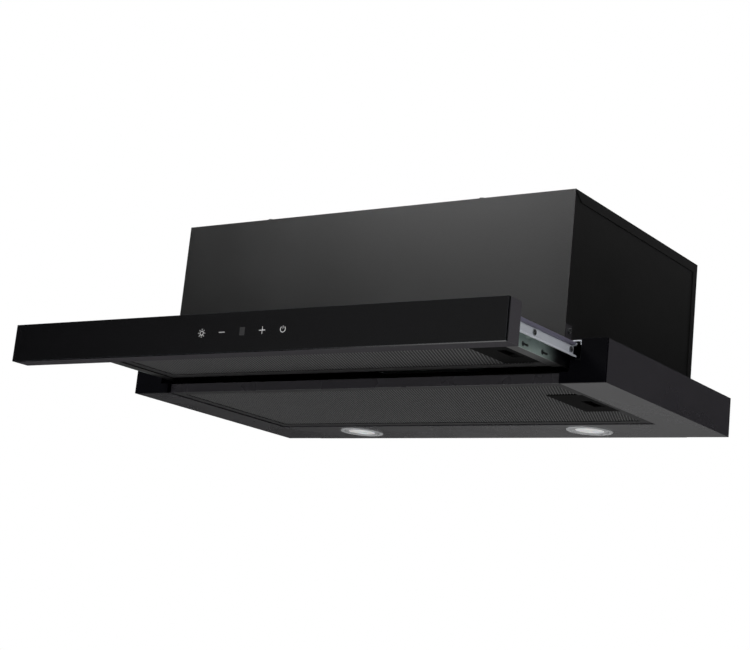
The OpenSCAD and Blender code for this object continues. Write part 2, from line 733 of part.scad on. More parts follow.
relief_l = 8; // length of the fixed members' front ends that keep only their top lip
lip_h = 4.6; // height of that lip
module slide_fixed(side) color("#c9ced0") hood_frame() on_side(side) difference() {
    slide_member(close_gap, close_gap + slide_len) fixed_profile();
    block([slide_x - 1, close_gap - 1, slide_z - slide_h],
          [web_x + 1, close_gap + relief_l, slide_z + slide_h / 2 - lip_h]);
    for (y = slide_screw_ys) translate([web_x - 4, y, slide_z]) rotate([0, 90, 0])
        cylinder(r = slide_screw_r + 0.1, h = 8);
}

module slide_screws() color("#d5d8da") hood_frame() both_sides()
    for (y = slide_screw_ys) translate([web_x - slide_sheet, y, slide_z])
        rotate([0, -90, 0]) screw(slide_screw_r, slide_sheet + sheet + 2, 3.2, 0.8);

module slide_inner(side) color("#d6dadd") hood_frame() on_side(side) difference() {
    slide_member(inner_y, inner_y + slide_len) inner_profile();
    for (y = shelf_screw_ys) translate([slide_x - 1, inner_y + y, slide_z])
        rotate([0, 90, 0]) cylinder(r = 1.7, h = 4);
}

// Strip that spaces the balls, folded over both rows.
cage_t = 0.5;
cage_u = slide_sheet + 1.2;
cage_y0 = (close_gap + slide_overlap - cage_len) / 2;
module cage_profile() {
    flat([cage_u, -race_v - 1], [cage_u + cage_t, race_v + 1]);
    for (m = [0, 1]) mirror([0, m])
        flat([cage_u, race_v + 0.7], [race_u + 0.8, race_v + 0.7 + cage_t]);
}

module ball_places() for (i = [0:ball_n - 1], m = [-1, 1])
    translate([web_x - race_u, cage_y0 + cage_len * (i + 0.5) / ball_n,
               slide_z + m * race_v]) children();

module ball_cages() color("#b9a66a") hood_frame() both_sides() difference() {
    slide_member(cage_y0, cage_y0 + cage_len) cage_profile();
    ball_places() translate([0, 0, -3]) cylinder(r = ball_r + 0.02, h = 6);
}

module slide_balls() color("#dfe3e6") hood_frame() both_sides()
    ball_places() sphere(r = ball_r);

// ---------- shelf ----------

// Keyhole slot in a side plate: a round hole with a narrower tail behind it.
module keyhole() {
    circle(r = 2.7);
    flat([0, -1.3], [9, 1.3]);
    translate([9, 0]) circle(r = 1.3);
}

keyhole_ys = [-80, -44];
keyhole_z = shelf_z + 4.4;
module shelf_side(side) color("#a9b8ae") hood_frame() on_side(side) difference() {
    union() {
        block([plate_x - sheet, panel_back_y, shelf_z],
              [plate_x, plate_rear, slide_z + plate_rise]);
        block([plate_x - sheet, panel_back_y, shelf_z],
              [plate_x + 4, panel_back_y + sheet, shelf_z + shelf_wall_h]);
        for (y = shelf_screw_ys) translate([plate_x - eps, inner_y + y, slide_z])
            rotate([0, 90, 0]) cylinder(r1 = 6, r2 = 4.5, h = boss_h + eps);
    }
    translate([plate_x - sheet - 1, 0, keyhole_z]) along_x(0, sheet + 2)
        for (y = keyhole_ys) translate([y, 0]) keyhole();
    for (y = shelf_screw_ys) translate([plate_x - 3, inner_y + y, slide_z])
        rotate([0, 90, 0]) cylinder(r = 1.6, h = boss_h + 4);
}

module shelf_screws() color("#d5d8da") hood_frame() both_sides()
    for (y = shelf_screw_ys) translate([slide_x + slide_sheet, inner_y + y, slide_z])
        rotate([0, 90, 0]) screw(1.5, slide_sheet + boss_h + sheet, 2.9, 1);

// Black frame of the shelf: a folded ring round the filter's window.
shelf_rear = 13;
module shelf_frame() color("#232325") hood_frame() difference() {
    top = shelf_z + shelf_wall_h;
    union() {
        block([-shelf_x, panel_back_y, shelf_z], [shelf_x, -1, shelf_z + sheet]);
        both_sides() block([shelf_x - sheet, panel_back_y, shelf_z], [shelf_x, shelf_rear, top]);
        block([-shelf_x, panel_back_y, shelf_z], [shelf_x, panel_back_y + sheet, top]);
        block([-shelf_x, shelf_rear - sheet, shelf_z + 4], [shelf_x, shelf_rear, top]);
        block([-shelf_x, 1, shelf_z + 4], [shelf_x, shelf_rear, shelf_z + 4 + sheet]);
    }
    block([-window_x, shelf_filter_y - 0.6, shelf_z - 1], [window_x, 0, shelf_z + 2]);
}

module sensor_magnet() color("#55585a") hood_frame()
    block([plate_x - sheet - 4, plate_rear - 12, shelf_z + 2],
          [plate_x - sheet, plate_rear - 2, shelf_z + 12]);

// ---------- front panel ----------

panel_z = -panel_drop;
panel_top = panel_z + panel_h;
panel_x = panel_w / 2;
icon_mid = 10.5; // middle of the touch keys, a little right of the panel's middle
key_w = 126; // width of the row of touch keys
key_low = panel_z + 13; // lower and upper edges of the row of touch keys
key_high = panel_top - 11;
key_gap = 1; // clearance round the row of touch keys
module panel_back() color("#2a2a2c") hood_frame()
    block([-panel_x + sheet, panel_back_y - sheet, panel_z + sheet],
          [panel_x - sheet, panel_back_y, panel_top - sheet]);

// Steel shell behind the glass, open to the rear, with a window for the keys.
module panel_shell() color("#2a292d") hood_frame() difference() {
    block([-panel_x, shell_y, panel_z], [panel_x, panel_back_y, panel_top]);
    block([-panel_x + sheet, shell_y + sheet, panel_z + sheet],
          [panel_x - sheet, panel_back_y + 1, panel_top - sheet]);
    key_window(shell_y - 1, shell_y + sheet + 1);
}

// Opening behind the glass for the row of touch keys, from y0 to y1.
module key_window(y0, y1)
    block([icon_mid - key_w / 2 - key_gap, y0, key_low - key_gap],
          [icon_mid + key_w / 2 + key_gap, y1, key_high + key_gap]);

module glass_tape() color("#0c0c0d") hood_frame() difference() {
    block([-panel_x + 1, tape_y, panel_z + 1], [panel_x - 1, shell_y, panel_top - 1]);
    key_window(tape_y - 1, shell_y + 1);
}

module panel_glass() color("#0b0b0e") hood_frame()
    block([-panel_x, panel_front_y, panel_z], [panel_x, tape_y, panel_top]);

// Touch board: sensor strip on the glass, circuit board and display behind it.
module touch_board() color("#1f4d33") hood_frame() {
    board_y = shell_y + sheet;
    block([icon_mid - key_w / 2, tape_y, key_low], [icon_mid + key_w / 2, board_y, key_high]);
    block([icon_mid - key_w / 2 - 7, board_y, key_low - 5],
          [icon_mid + key_w / 2 + 7, board_y + board_t, key_high + 4]);
    block([icon_mid - 10, board_y + board_t - eps, key_low - 1],
          [icon_mid + 10, board_y + board_t + 4, key_high - 1]);
}

// ---------- grease filters ----------
// A filter is drawn from its own corner: x from its middle, y from its front edge
// and z from its underside. Its hooks are on the left and its latch on the right.

// Moves a filter to its place; place is "main" or "shelf".
module main_place() hood_frame() translate([0, main_filter_y, filter_lift]) children();
module shelf_place() hood_frame()
    translate([0, shelf_filter_y, shelf_z + filter_lift]) children();

mesh_z = 0.6; // height of the lower mesh sheet in its groove
upper_mesh_z = filter_t - mesh_z - mesh_t;
hook_l = 4.5;
latch_wall = 1;
tongue_z = latch_wall + 0.25; // the slider runs just above the plate's face
tongue_t = 1.6;
tongue_l = 5;
tongue_w = 8;
latch_t = filter_t;

// The space that a latch plate fills; x1 is its right edge, y its middle.
module latch_space(x1, y, grow = 0)
    block([x1 - latch_w, y - latch_l / 2, -grow],
          [x1, y + latch_l / 2, latch_t + grow]);

// Folded rim with hooks, a window, mesh grooves, and slots for the tongues.
module filter_rim(x, d, latch_in, latch_y) difference() {
    union() {
        block([-x, 0, 0], [x, d, filter_t]);
        for (y = [d * 0.22, d * 0.78])
            block([-x - hook_l, y - 8, 0.15], [-x + eps, y + 8, 0.15 + tongue_t]);
    }
    block([-x + rim_w, rim_w, -1], [x - rim_w, d - rim_w, filter_t + 1]);
    for (z = [mesh_z, upper_mesh_z])
        block([-x + rim_w - 3, rim_w - 3, z], [x - rim_w + 3, d - rim_w + 3, z + mesh_t]);
    latch_space(x - latch_in, latch_y, 1);
    for (s = [-1, 1])
        block([x - latch_in - 1, latch_y + 14 * s - tongue_w / 2 - fit_gap, tongue_z - fit_gap],
              [x + 1, latch_y + 14 * s + tongue_w / 2 + fit_gap, tongue_z + tongue_t + fit_gap]);
}

// Expanded sheet: diamond openings in staggered rows, clear of the sheet's edge.
module mesh_sheet(x, d, latch_in, latch_y) linear_extrude(mesh_t) difference() {
    low = [-x + rim_w - 3, rim_w - 3];
    high = [x - rim_w + 3, d - rim_w + 3];
    flat(low, high);
    rows = floor((d - 2 * rim_w) / (mesh_pitch / 2));
    cols = floor((2 * x - 2 * rim_w) / mesh_pitch);
    for (j = [0:rows - 1], i = [0:cols - 1 - j % 2]) {
        cx = (i - (cols - 1) / 2 + (j % 2) / 2) * mesh_pitch;
        cy = d / 2 + (j - (rows - 1) / 2) * mesh_pitch / 2;
        if (cx + mesh_pitch / 2 < x - latch_in - latch_w
            || abs(cy - latch_y) > latch_l / 2 + mesh_pitch / 2)
            translate([cx, cy]) polygon([
                [-mesh_pitch / 2 + strand, 0], [0, -mesh_pitch / 2 + strand * 0.75],
                [mesh_pitch / 2 - strand, 0], [0, mesh_pitch / 2 - strand * 0.75]
            ]);
    }
    flat([x - latch_in - latch_w, latch_y - latch_l / 2],
         [x - latch_in, latch_y + latch_l / 2]);
}

module filter_mesh(x, d, latch_in, latch_y) for (z = [mesh_z, upper_mesh_z])
    translate([0, 0, z]) mesh_sheet(x, d, latch_in, latch_y);

// Latch plate: a shallow tray with a finger opening in its face.
grip_in = 5; // setback of the finger opening from the plate's right edge
grip_shift = 4; // the opening sits a little behind the plate's middle
module latch_plate(x, latch_in, latch_y) difference() {
    x1 = x - latch_in;
    latch_space(x1, latch_y);
    block([x1 - latch_w + latch_wall, latch_y - latch_l / 2 + latch_wall, latch_wall],
          [x1 - latch_wall, latch_y + latch_l / 2 - latch_wall, latch_t + 1]);
    block([x1 - grip_in - grip_w, latch_y + grip_shift - grip_l / 2, -1],
          [x1 - grip_in, latch_y + grip_shift + grip_l / 2, latch_t]);
    for (s = [-1, 1])
        block([x1 - 2, latch_y + 14 * s - tongue_w / 2 - fit_gap, tongue_z - 0.2],
              [x1 + 1, latch_y + 14 * s + tongue_w / 2 + fit_gap, tongue_z + tongue_t + fit_gap]);
}

// Sprung slider: two tongues over the ledge, a finger bar and a closing tray.
spring_l = 12;
module latch_slider(x, latch_in, latch_y) {
    x1 = x - latch_in;
    for (s = [-1, 1])
        block([x1 - 5, latch_y + 14 * s - tongue_w / 2, tongue_z],
              [x + tongue_l, latch_y + 14 * s + tongue_w / 2, tongue_z + tongue_t]);
    block([x1 - 5, latch_y - 18, tongue_z], [x1 - 1.6, latch_y + 22, 6]);
    block([x1 - 24, latch_y - 18, 5], [x1 - 1.6, latch_y + 22, 6.4]);
    block([x1 - 24, latch_y - 18, 2.4], [x1 - 22.6, latch_y + 22, 6]);
    block([x1 - 9, latch_y + grip_shift - grip_l / 2 + 1.5, 0.8],
          [x1 - 6, latch_y + grip_shift + grip_l / 2 - 1.5, 6]);
}

// Return spring: a wire helix between the slider and the plate's inner wall.
spring_turns = 5;
spring_r = 1.8;
spring_wire = 0.35;
spring_steps = 12;
function spring_ring(i) = let(n = spring_turns * spring_steps, a = 360 * i / spring_steps,
    c = [spring_r * cos(a), spring_r * sin(a)], px = spring_len() * i / n)
    [for (k = [0:5]) let(b = 60 * k, rr = spring_r + spring_wire * cos(b))
        [px + spring_wire * sin(b), rr * cos(a), rr * sin(a)]];
function spring_len() = latch_w - 24 - latch_wall - 2 * spring_wire;
module spring() {
    n = spring_turns * spring_steps;
    points = [for (i = [0:n]) each spring_ring(i)];
    polyhedron(points, concat(
        [[for (k = [0:5]) k]], [[for (k = [5:-1:0]) n * 6 + k]],
        [for (i = [0:n - 1], k = [0:5]) let(a = i * 6 + k, b = i * 6 + (k + 1) % 6)
            each [[a, a + 6, b], [b, a + 6, b + 6]]]));
}

module spring_pair(x, latch_in, latch_y) for (s = [-1, 1])
    translate([x - latch_in - latch_w + latch_wall + spring_wire,
               latch_y + 12 * s, 4]) spring();

module main_filter_rim() color("#2b2b2d") main_place()
    filter_rim(main_rim_x, main_filter_d, main_latch_in, main_latch_y);
module main_filter_mesh() color("#3c3c3e") main_place()
    filter_mesh(main_rim_x, main_filter_d, main_latch_in, main_latch_y);
module main_latch_plate() color("#262628") main_place()
    latch_plate(main_rim_x, main_latch_in, main_latch_y);
module main_latch_slider() color("#303032") main_place()
    latch_slider(main_rim_x, main_latch_in, main_latch_y);
module shelf_filter_rim() color("#2b2b2d") shelf_place()
    filter_rim(shelf_rim_x, shelf_filter_d, shelf_latch_in, shelf_latch_y);
module shelf_filter_mesh() color("#3c3c3e") shelf_place()
    filter_mesh(shelf_rim_x, shelf_filter_d, shelf_latch_in, shelf_latch_y);
module shelf_latch_plate() color("#262628") shelf_place()
    latch_plate(shelf_rim_x, shelf_latch_in, shelf_latch_y);
module shelf_latch_slider() color("#303032") shelf_place()
    latch_slider(shelf_rim_x, shelf_latch_in, shelf_latch_y);
module main_latch_springs() color("#c4c7c9") main_place()
    spring_pair(main_rim_x, main_latch_in, main_latch_y);
module shelf_latch_springs() color("#c4c7c9") shelf_place()
    spring_pair(shelf_rim_x, shelf_latch_in, shelf_latch_y);

base_rail(-1);  // base_rail_left
base_rail(1);  // base_rail_right
rail_cap(-1);  // rail_cap_left
rail_cap(1);  // rail_cap_right
cross_bar();
lamp_strip();
lamp_bezels();
lamp_lenses();
lamp_bodies();
housing_front();
housing_side(-1);  // housing_left
housing_side(1);  // housing_right
housing_top();
housing_back();
corner_brackets();
housing_screws();
duct_collar();
flap_pin();
flap(-1);  // flap_front
flap(1);  // flap_rear
scroll(-1);  // scroll_left
scroll(1);  // scroll_right
impeller();
motor_shaft();
motor();
motor_bracket();
capacitor();
control_box();
control_box_lid();
control_board();
led_driver();
cable_gland();
position_sensor();
slide_fixed(-1);  // slide_fixed_left
slide_fixed(1);  // slide_fixed_right
slide_screws();
ball_cages();
slide_balls();
slide_inner(-1);  // slide_inner_left
slide_inner(1);  // slide_inner_right
shelf_side(-1);  // shelf_side_left
shelf_side(1);  // shelf_side_right
shelf_frame();
shelf_screws();
panel_back();
panel_shell();
glass_tape();
panel_glass();
touch_board();
sensor_magnet();
main_filter_rim();
main_filter_mesh();
main_latch_plate();
main_latch_slider();
shelf_filter_rim();
shelf_filter_mesh();
shelf_latch_plate();
shelf_latch_slider();
main_latch_springs();
shelf_latch_springs();
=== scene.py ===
import json
import math

import bmesh
import bpy
import numpy as np
from mathutils import Matrix, Vector


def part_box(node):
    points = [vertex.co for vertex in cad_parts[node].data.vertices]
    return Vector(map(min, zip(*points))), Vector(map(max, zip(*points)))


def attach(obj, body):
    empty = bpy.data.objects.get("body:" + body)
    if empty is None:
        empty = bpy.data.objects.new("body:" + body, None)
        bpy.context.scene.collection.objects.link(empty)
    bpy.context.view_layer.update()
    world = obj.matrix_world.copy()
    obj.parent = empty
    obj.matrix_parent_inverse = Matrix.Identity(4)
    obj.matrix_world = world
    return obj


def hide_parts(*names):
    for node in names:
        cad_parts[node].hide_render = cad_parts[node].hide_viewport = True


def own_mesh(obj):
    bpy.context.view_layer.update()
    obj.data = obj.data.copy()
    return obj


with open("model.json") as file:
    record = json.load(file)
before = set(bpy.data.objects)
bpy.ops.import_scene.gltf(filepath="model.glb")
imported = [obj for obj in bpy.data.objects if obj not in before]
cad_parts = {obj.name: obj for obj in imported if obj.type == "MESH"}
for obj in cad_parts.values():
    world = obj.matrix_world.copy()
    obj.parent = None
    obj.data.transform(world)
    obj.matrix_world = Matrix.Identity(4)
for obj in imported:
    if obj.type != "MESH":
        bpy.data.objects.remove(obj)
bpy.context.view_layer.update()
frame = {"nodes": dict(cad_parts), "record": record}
nodes = frame["nodes"]
record = frame["record"]

MM = 0.001
WHITE = (1.0, 1.0, 1.0, 1.0)


# ---------- meshes ----------

def lattice_faces(rows, cols, close_rows=False, close_cols=False):
    """Four-sided faces of a grid whose point (row, col) has the number row * cols + col;
    a closed direction joins its last line of points to its first."""
    row, col = np.meshgrid(np.arange(rows if close_rows else rows - 1),
                           np.arange(cols if close_cols else cols - 1), indexing="ij")
    next_row, next_col = (row + 1) % rows, (col + 1) % cols
    corners = [row * cols + col, row * cols + next_col,
               next_row * cols + next_col, next_row * cols + col]
    return np.stack(corners, axis=-1).reshape(-1, 4)


def piece_of(name, points, faces, body, slot, replaced=(), smooth=False):
    """A mesh object made of arrays of points and faces, riding on a body."""
    mesh = bpy.data.meshes.new(name)
    mesh.from_pydata(np.asarray(points, float).tolist(), [], [list(f) for f in faces])
    mesh.shade_smooth() if smooth else mesh.shade_flat()
    piece = bpy.data.objects.new(name, mesh)
    bpy.context.scene.collection.objects.link(piece)
    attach(piece, body)
    if replaced:
        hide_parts(*replaced)
    mesh.materials.append(materials[slot])
    return piece


def joined(parts):
    """One array of points and one list of faces out of several (points, faces) pairs."""
    points, faces, base = [], [], 0
    for part_points, part_faces in parts:
        points.append(part_points)
        faces += [[i + base for i in face] for face in part_faces]
        base += len(part_points)
    return np.concatenate(points), faces


def turned(profile, centre, segments=96):
    """A closed profile of (radius, height) points turned about the vertical through
    centre: point (a, i) is centre + (r_i cos a, r_i sin a, z_i)."""
    angle = np.linspace(0, 2 * np.pi, segments, endpoint=False)[:, None]
    radius, height = profile[:, 0][None, :], profile[:, 1][None, :]
    points = np.stack([centre[0] + radius * np.cos(angle), centre[1] + radius * np.sin(angle),
                       centre[2] + height + 0 * angle], axis=-1).reshape(-1, 3)
    return points, lattice_faces(segments, len(profile), True, True).tolist()


def rounded(corners, radii, steps=4):
    """A closed outline with each corner cut back by its radius and replaced by a
    quadratic curve that starts and ends on the two sides of that corner."""
    corners = np.asarray(corners, float)
    before, after = np.roll(corners, 1, axis=0), np.roll(corners, -1, axis=0)
    t = np.linspace(0, 1, steps + 1)[:, None]
    outline = []
    for corner, low, high, radius in zip(corners, before, after, radii):
        start = corner + (low - corner) * radius / np.linalg.norm(low - corner)
        end = corner + (high - corner) * radius / np.linalg.norm(high - corner)
        outline.append((1 - t) ** 2 * start + 2 * t * (1 - t) * corner + t ** 2 * end)
    return np.concatenate(outline)


# ---------- shader node groups ----------

def group_tree(name, inputs, outputs):
    """An empty node group with named inputs (name, type, value) and outputs."""
    tree = bpy.data.node_groups.new(name, "ShaderNodeTree")
    for label, kind, value in inputs:
        socket = tree.interface.new_socket(label, in_out="INPUT", socket_type=kind)
        socket.default_value = value
    for label, kind in outputs:
        tree.interface.new_socket(label, in_out="OUTPUT", socket_type=kind)
    return tree, tree.nodes.new("NodeGroupInput").outputs, tree.nodes.new("NodeGroupOutput").inputs


def feed(tree, entry, value):
    """Joins a socket to a node's input, or sets the input's own value."""
    if isinstance(value, bpy.types.NodeSocket):
        tree.links.new(value, entry)
    else:
        entry.default_value = value


def math_node(tree, operation, *values, clamp=False):
    """A Math node; its values are sockets or numbers."""
    made = tree.nodes.new("ShaderNodeMath")
    made.operation = operation
    made.use_clamp = clamp
    for entry, value in zip(made.inputs, values):
        feed(tree, entry, value)
    return made.outputs[0]


def mixed_colour(tree, factor, a, b, blend="MIX"):
    """A colour Mix node; factor, a and b are sockets or values."""
    made = tree.nodes.new("ShaderNodeMix")
    made.data_type = "RGBA"
    made.blend_type = blend
    for number, value in [(0, factor), (6, a), (7, b)]:
        feed(tree, made.inputs[number], value)
    return made.outputs[2]


def ramp(tree, value, low, high):
    """A smooth run from one to the other of two (place, level) pairs."""
    made = tree.nodes.new("ShaderNodeMapRange")
    made.interpolation_type = "SMOOTHSTEP"
    for label, given in [("Value", value), ("From Min", low[0]), ("From Max", high[0]),
                         ("To Min", low[1]), ("To Max", high[1])]:
        feed(tree, made.inputs[label], given)
    return made.outputs[0]


def object_point(tree, stretch=(1.0, 1.0, 1.0)):
    """Object coordinates, stretched along the three axes."""
    place = tree.nodes.new("ShaderNodeTexCoord")
    mapping = tree.nodes.new("ShaderNodeMapping")
    mapping.inputs["Scale"].default_value = stretch
    tree.links.new(place.outputs["Object"], mapping.inputs["Vector"])
    return mapping.outputs["Vector"]


def place_along(tree, axis):
    """The Object coordinate along one axis."""
    split = tree.nodes.new("ShaderNodeSeparateXYZ")
    tree.links.new(object_point(tree), split.inputs[0])
    return split.outputs[axis]


def noise(tree, point, scale, detail=2.0, roughness=0.5):
    """A Noise Texture's value; scale is a socket or a number."""
    made = tree.nodes.new("ShaderNodeTexNoise")
    for label, value in [("Vector", point), ("Scale", scale), ("Detail", detail),
                         ("Roughness", roughness)]:
        feed(tree, made.inputs[label], value)
    return made.outputs["Fac"]


CLOUD_SCALE = 14.0


def build_coat_grain():
    """Orange peel and fine pigment grain of a powder coat, and its slow shifts of tone."""
    tree, given, result = group_tree(
        "coat_grain",
        [("Colour", "NodeSocketColor", WHITE), ("Grain scale", "NodeSocketFloat", 900.0),
         ("Tone", "NodeSocketFloat", 0.2), ("Roughness", "NodeSocketFloat", 0.4),
         ("Roughness spread", "NodeSocketFloat", 0.1)],
        [("Colour", "NodeSocketColor"), ("Roughness", "NodeSocketFloat"),
         ("Height", "NodeSocketFloat")])
    point = object_point(tree)
    grain = noise(tree, point, given["Grain scale"], 3.0, 0.6)
    cloud = noise(tree, point, CLOUD_SCALE, 3.0)
    grain_share = math_node(tree, "MULTIPLY", grain, 0.7)
    speck = math_node(tree, "MULTIPLY_ADD", cloud, 0.6, grain_share)
    from_mean = math_node(tree, "SUBTRACT", speck, 0.65)
    shade = math_node(tree, "MULTIPLY_ADD", from_mean, given["Tone"], 1.0)
    grey = tree.nodes.new("ShaderNodeCombineColor")
    for channel in grey.inputs:
        tree.links.new(shade, channel)
    tree.links.new(mixed_colour(tree, 1.0, given["Colour"], grey.outputs[0], "MULTIPLY"),
                   result["Colour"])
    rough = math_node(tree, "MULTIPLY_ADD", math_node(tree, "SUBTRACT", cloud, 0.5),
                      given["Roughness spread"], given["Roughness"])
    tree.links.new(rough, result["Roughness"])
    tree.links.new(grain, result["Height"])
    return tree


EDGE_GAIN = 5.0


def build_edge_wear_and_highlight():
    """Mask that is 1 on edges, where worn coat and a painted highlight are drawn: the turn of
    the rounded normal away from the face's own, broken up by noise."""
    tree, given, result = group_tree(
        "edge_wear_and_highlight",
        [("Radius", "NodeSocketFloat", 0.0006), ("Amount", "NodeSocketFloat", 0.5)],
        [("Mask", "NodeSocketFloat")])
    rounded_normal = tree.nodes.new("ShaderNodeBevel")
    rounded_normal.samples = 4
    tree.links.new(given["Radius"], rounded_normal.inputs["Radius"])
    face = tree.nodes.new("ShaderNodeNewGeometry")
    dot = tree.nodes.new("ShaderNodeVectorMath")
    dot.operation = "DOT_PRODUCT"
    tree.links.new(rounded_normal.outputs[0], dot.inputs[0])
    tree.links.new(face.outputs["Normal"], dot.inputs[1])
    apart = math_node(tree, "SUBTRACT", 1.0, dot.outputs["Value"])
    turn = math_node(tree, "MULTIPLY", apart, EDGE_GAIN, clamp=True)
    patches = noise(tree, object_point(tree), 160.0, 3.0)
    broken = math_node(tree, "MULTIPLY_ADD", patches, 0.8, 0.3)
    mask = math_node(tree, "MULTIPLY", math_node(tree, "MULTIPLY", turn, broken), given["Amount"],
                     clamp=True)
    tree.links.new(mask, result["Mask"])
    return tree


def build_rolled_metal():
    """Rolling lines, plating spangle and tone of bare or plated sheet metal."""
    tree, given, result = group_tree(
        "rolled_metal",
        [("Colour", "NodeSocketColor", WHITE), ("Second colour", "NodeSocketColor", WHITE),
         ("Spangle scale", "NodeSocketFloat", 180.0), ("Roughness", "NodeSocketFloat", 0.3)],
        [("Colour", "NodeSocketColor"), ("Roughness", "NodeSocketFloat"),
         ("Height", "NodeSocketFloat")])
    lines = noise(tree, object_point(tree, (600.0, 12.0, 600.0)), 1.0, 2.0)
    spangle = tree.nodes.new("ShaderNodeTexVoronoi")
    tree.links.new(object_point(tree), spangle.inputs["Vector"])
    tree.links.new(given["Spangle scale"], spangle.inputs["Scale"])
    patch = tree.nodes.new("ShaderNodeRGBToBW")
    tree.links.new(spangle.outputs["Color"], patch.inputs[0])
    cloud = noise(tree, object_point(tree), 45.0, 3.0)
    cloud_share = math_node(tree, "MULTIPLY", cloud, 0.55)
    blend = math_node(tree, "MULTIPLY_ADD", patch.outputs[0], 0.45, cloud_share)
    tree.links.new(mixed_colour(tree, blend, given["Colour"], given["Second colour"]),
                   result["Colour"])
    rough = math_node(tree, "MULTIPLY_ADD", math_node(tree, "SUBTRACT", blend, 0.5), 0.22,
                      given["Roughness"])
    tree.links.new(rough, result["Roughness"])
    tree.links.new(lines, result["Height"])
    return tree


GROUPS = {"coat_grain": build_coat_grain(), "edge_wear_and_highlight": build_edge_wear_and_highlight(),
          "rolled_metal": build_rolled_metal()}


# ---------- materials ----------

def new_material(name):
    """A node material with its Principled shader: (material, node tree, shader)."""
    material = bpy.data.materials.new(name)
    material.use_nodes = True
    tree = material.node_tree
    return material, tree, tree.nodes["Principled BSDF"]


def placed(tree, group, **values):
    """A node group in a material, with values for its named inputs."""
    made = tree.nodes.new("ShaderNodeGroup")
    made.node_tree = GROUPS[group]
    for label, value in values.items():
        made.inputs[label.replace("_", " ")].default_value = value
    return made.outputs


def bump(tree, shader, height, depth):
    """Joins a height in 0..1 to the shader's normal; depth is in millimetres."""
    made = tree.nodes.new("ShaderNodeBump")
    made.inputs["Distance"].default_value = depth * MM
    tree.links.new(height, made.inputs["Height"])
    tree.links.new(made.outputs["Normal"], shader.inputs["Normal"])


def clouded(tree, entry, scale, first, second):
    """Feeds a shader's colour input with a slow mix of two colours."""
    cloud = noise(tree, object_point(tree), scale)
    tree.links.new(mixed_colour(tree, cloud, (*first, 1), (*second, 1)), entry)


def coated(name, colour, edge, roughness, specular, grain_scale, grain_depth, tone=0.25):
    """Powder-coated or moulded surface: grain, shifts of tone, and thin lighter edges that are
    partly worn coat and partly painted highlight.
    """
    material, tree, shader = new_material(name)
    grain = placed(tree, "coat_grain", Colour=(*colour, 1), Grain_scale=grain_scale, Tone=tone,
                   Roughness=roughness, Roughness_spread=0.12)
    # Lighter edges: partly worn coat, partly painted highlight.
    wear_and_highlight = placed(tree, "edge_wear_and_highlight", Radius=0.5 * MM, Amount=0.55)
    tree.links.new(mixed_colour(tree, wear_and_highlight["Mask"], grain["Colour"], (*edge, 1)),
                   shader.inputs["Base Color"])
    tree.links.new(grain["Roughness"], shader.inputs["Roughness"])
    shader.inputs["Specular IOR Level"].default_value = specular
    bump(tree, shader, grain["Height"], grain_depth)
    return material


# Near-white painted highlight for the edges of metal parts.
EDGE_HIGHLIGHT = (0.9, 0.91, 0.93, 1)
# Near-black painted shade for the inside of the rail's mouth.
MOUTH_SHADE_COLOUR = (0.006, 0.006, 0.007, 1)


def plated(name, colour, second, roughness, spangle_scale, depth=0.03, metal=1.0, mouth_shade_span=None):
    """Bare, plated or chromed metal; metal is below 1 under a chalky passivation. Between
    two places along Y, when they are given, it passes into painted shade, near black, for
    the shadow inside the rail's mouth."""
    material, tree, shader = new_material(name)
    sheet = placed(tree, "rolled_metal", Colour=(*colour, 1), Second_colour=(*second, 1),
                   Spangle_scale=spangle_scale, Roughness=roughness)
    # Near-white edges on the metal: painted highlight.
    wear_and_highlight = placed(tree, "edge_wear_and_highlight", Radius=0.4 * MM, Amount=0.4)
    shown = mixed_colour(tree, wear_and_highlight["Mask"], sheet["Colour"], EDGE_HIGHLIGHT)
    # Painted shade: the film below darkens the metal towards the inside of the rail's mouth.
    if mouth_shade_span:
        film = ramp(tree, place_along(tree, "Y"), (mouth_shade_span[0], 0.0), (mouth_shade_span[1], 1.0))
        shown = mixed_colour(tree, film, shown, MOUTH_SHADE_COLOUR)
    tree.links.new(shown, shader.inputs["Base Color"])
    tree.links.new(sheet["Roughness"], shader.inputs["Roughness"])
    shader.inputs["Metallic"].default_value = metal
    bump(tree, shader, sheet["Height"], depth)
    return material


def black_glass():
    """Polished glass printed black behind, with the faint haze of a wiped surface and a painted
    highlight on its edges.
    """
    material, tree, shader = new_material("black_glass")
    haze = noise(tree, object_point(tree, (6.0, 6.0, 30.0)), 1.0, 4.0)
    tree.links.new(math_node(tree, "MULTIPLY_ADD", haze, 0.05, 0.02), shader.inputs["Roughness"])
    # Lighter edges on the glass: painted highlight.
    wear_and_highlight = placed(tree, "edge_wear_and_highlight", Radius=0.5 * MM, Amount=0.8)
    face, edge = (0.0042, 0.0042, 0.0048, 1), (0.12, 0.13, 0.14, 1)
    tree.links.new(mixed_colour(tree, wear_and_highlight["Mask"], face, edge), shader.inputs["Base Color"])
    return material


def mesh_coat():
    """Black coated expanded aluminium: the coat's colour where a strand stands up, and painted
    shade, near black, in its openings.
    """
    material, tree, shader = new_material("filter_mesh")
    attribute = tree.nodes.new("ShaderNodeAttribute")
    attribute.attribute_name = "opening"
    opening = attribute.outputs["Fac"]
    grain = placed(tree, "coat_grain", Colour=(0.098, 0.098, 0.10, 1), Grain_scale=700.0, Tone=0.4,
                   Roughness=0.26, Roughness_spread=0.1)
    # Painted shade: the openings darken to near black.
    tree.links.new(mixed_colour(tree, opening, grain["Colour"], (0.004, 0.004, 0.004, 1)),
                   shader.inputs["Base Color"])
    rough = math_node(tree, "MULTIPLY_ADD", opening, 0.6, grain["Roughness"])
    tree.links.new(rough, shader.inputs["Roughness"])
    shader.inputs["Specular IOR Level"].default_value = 0.2
    return material


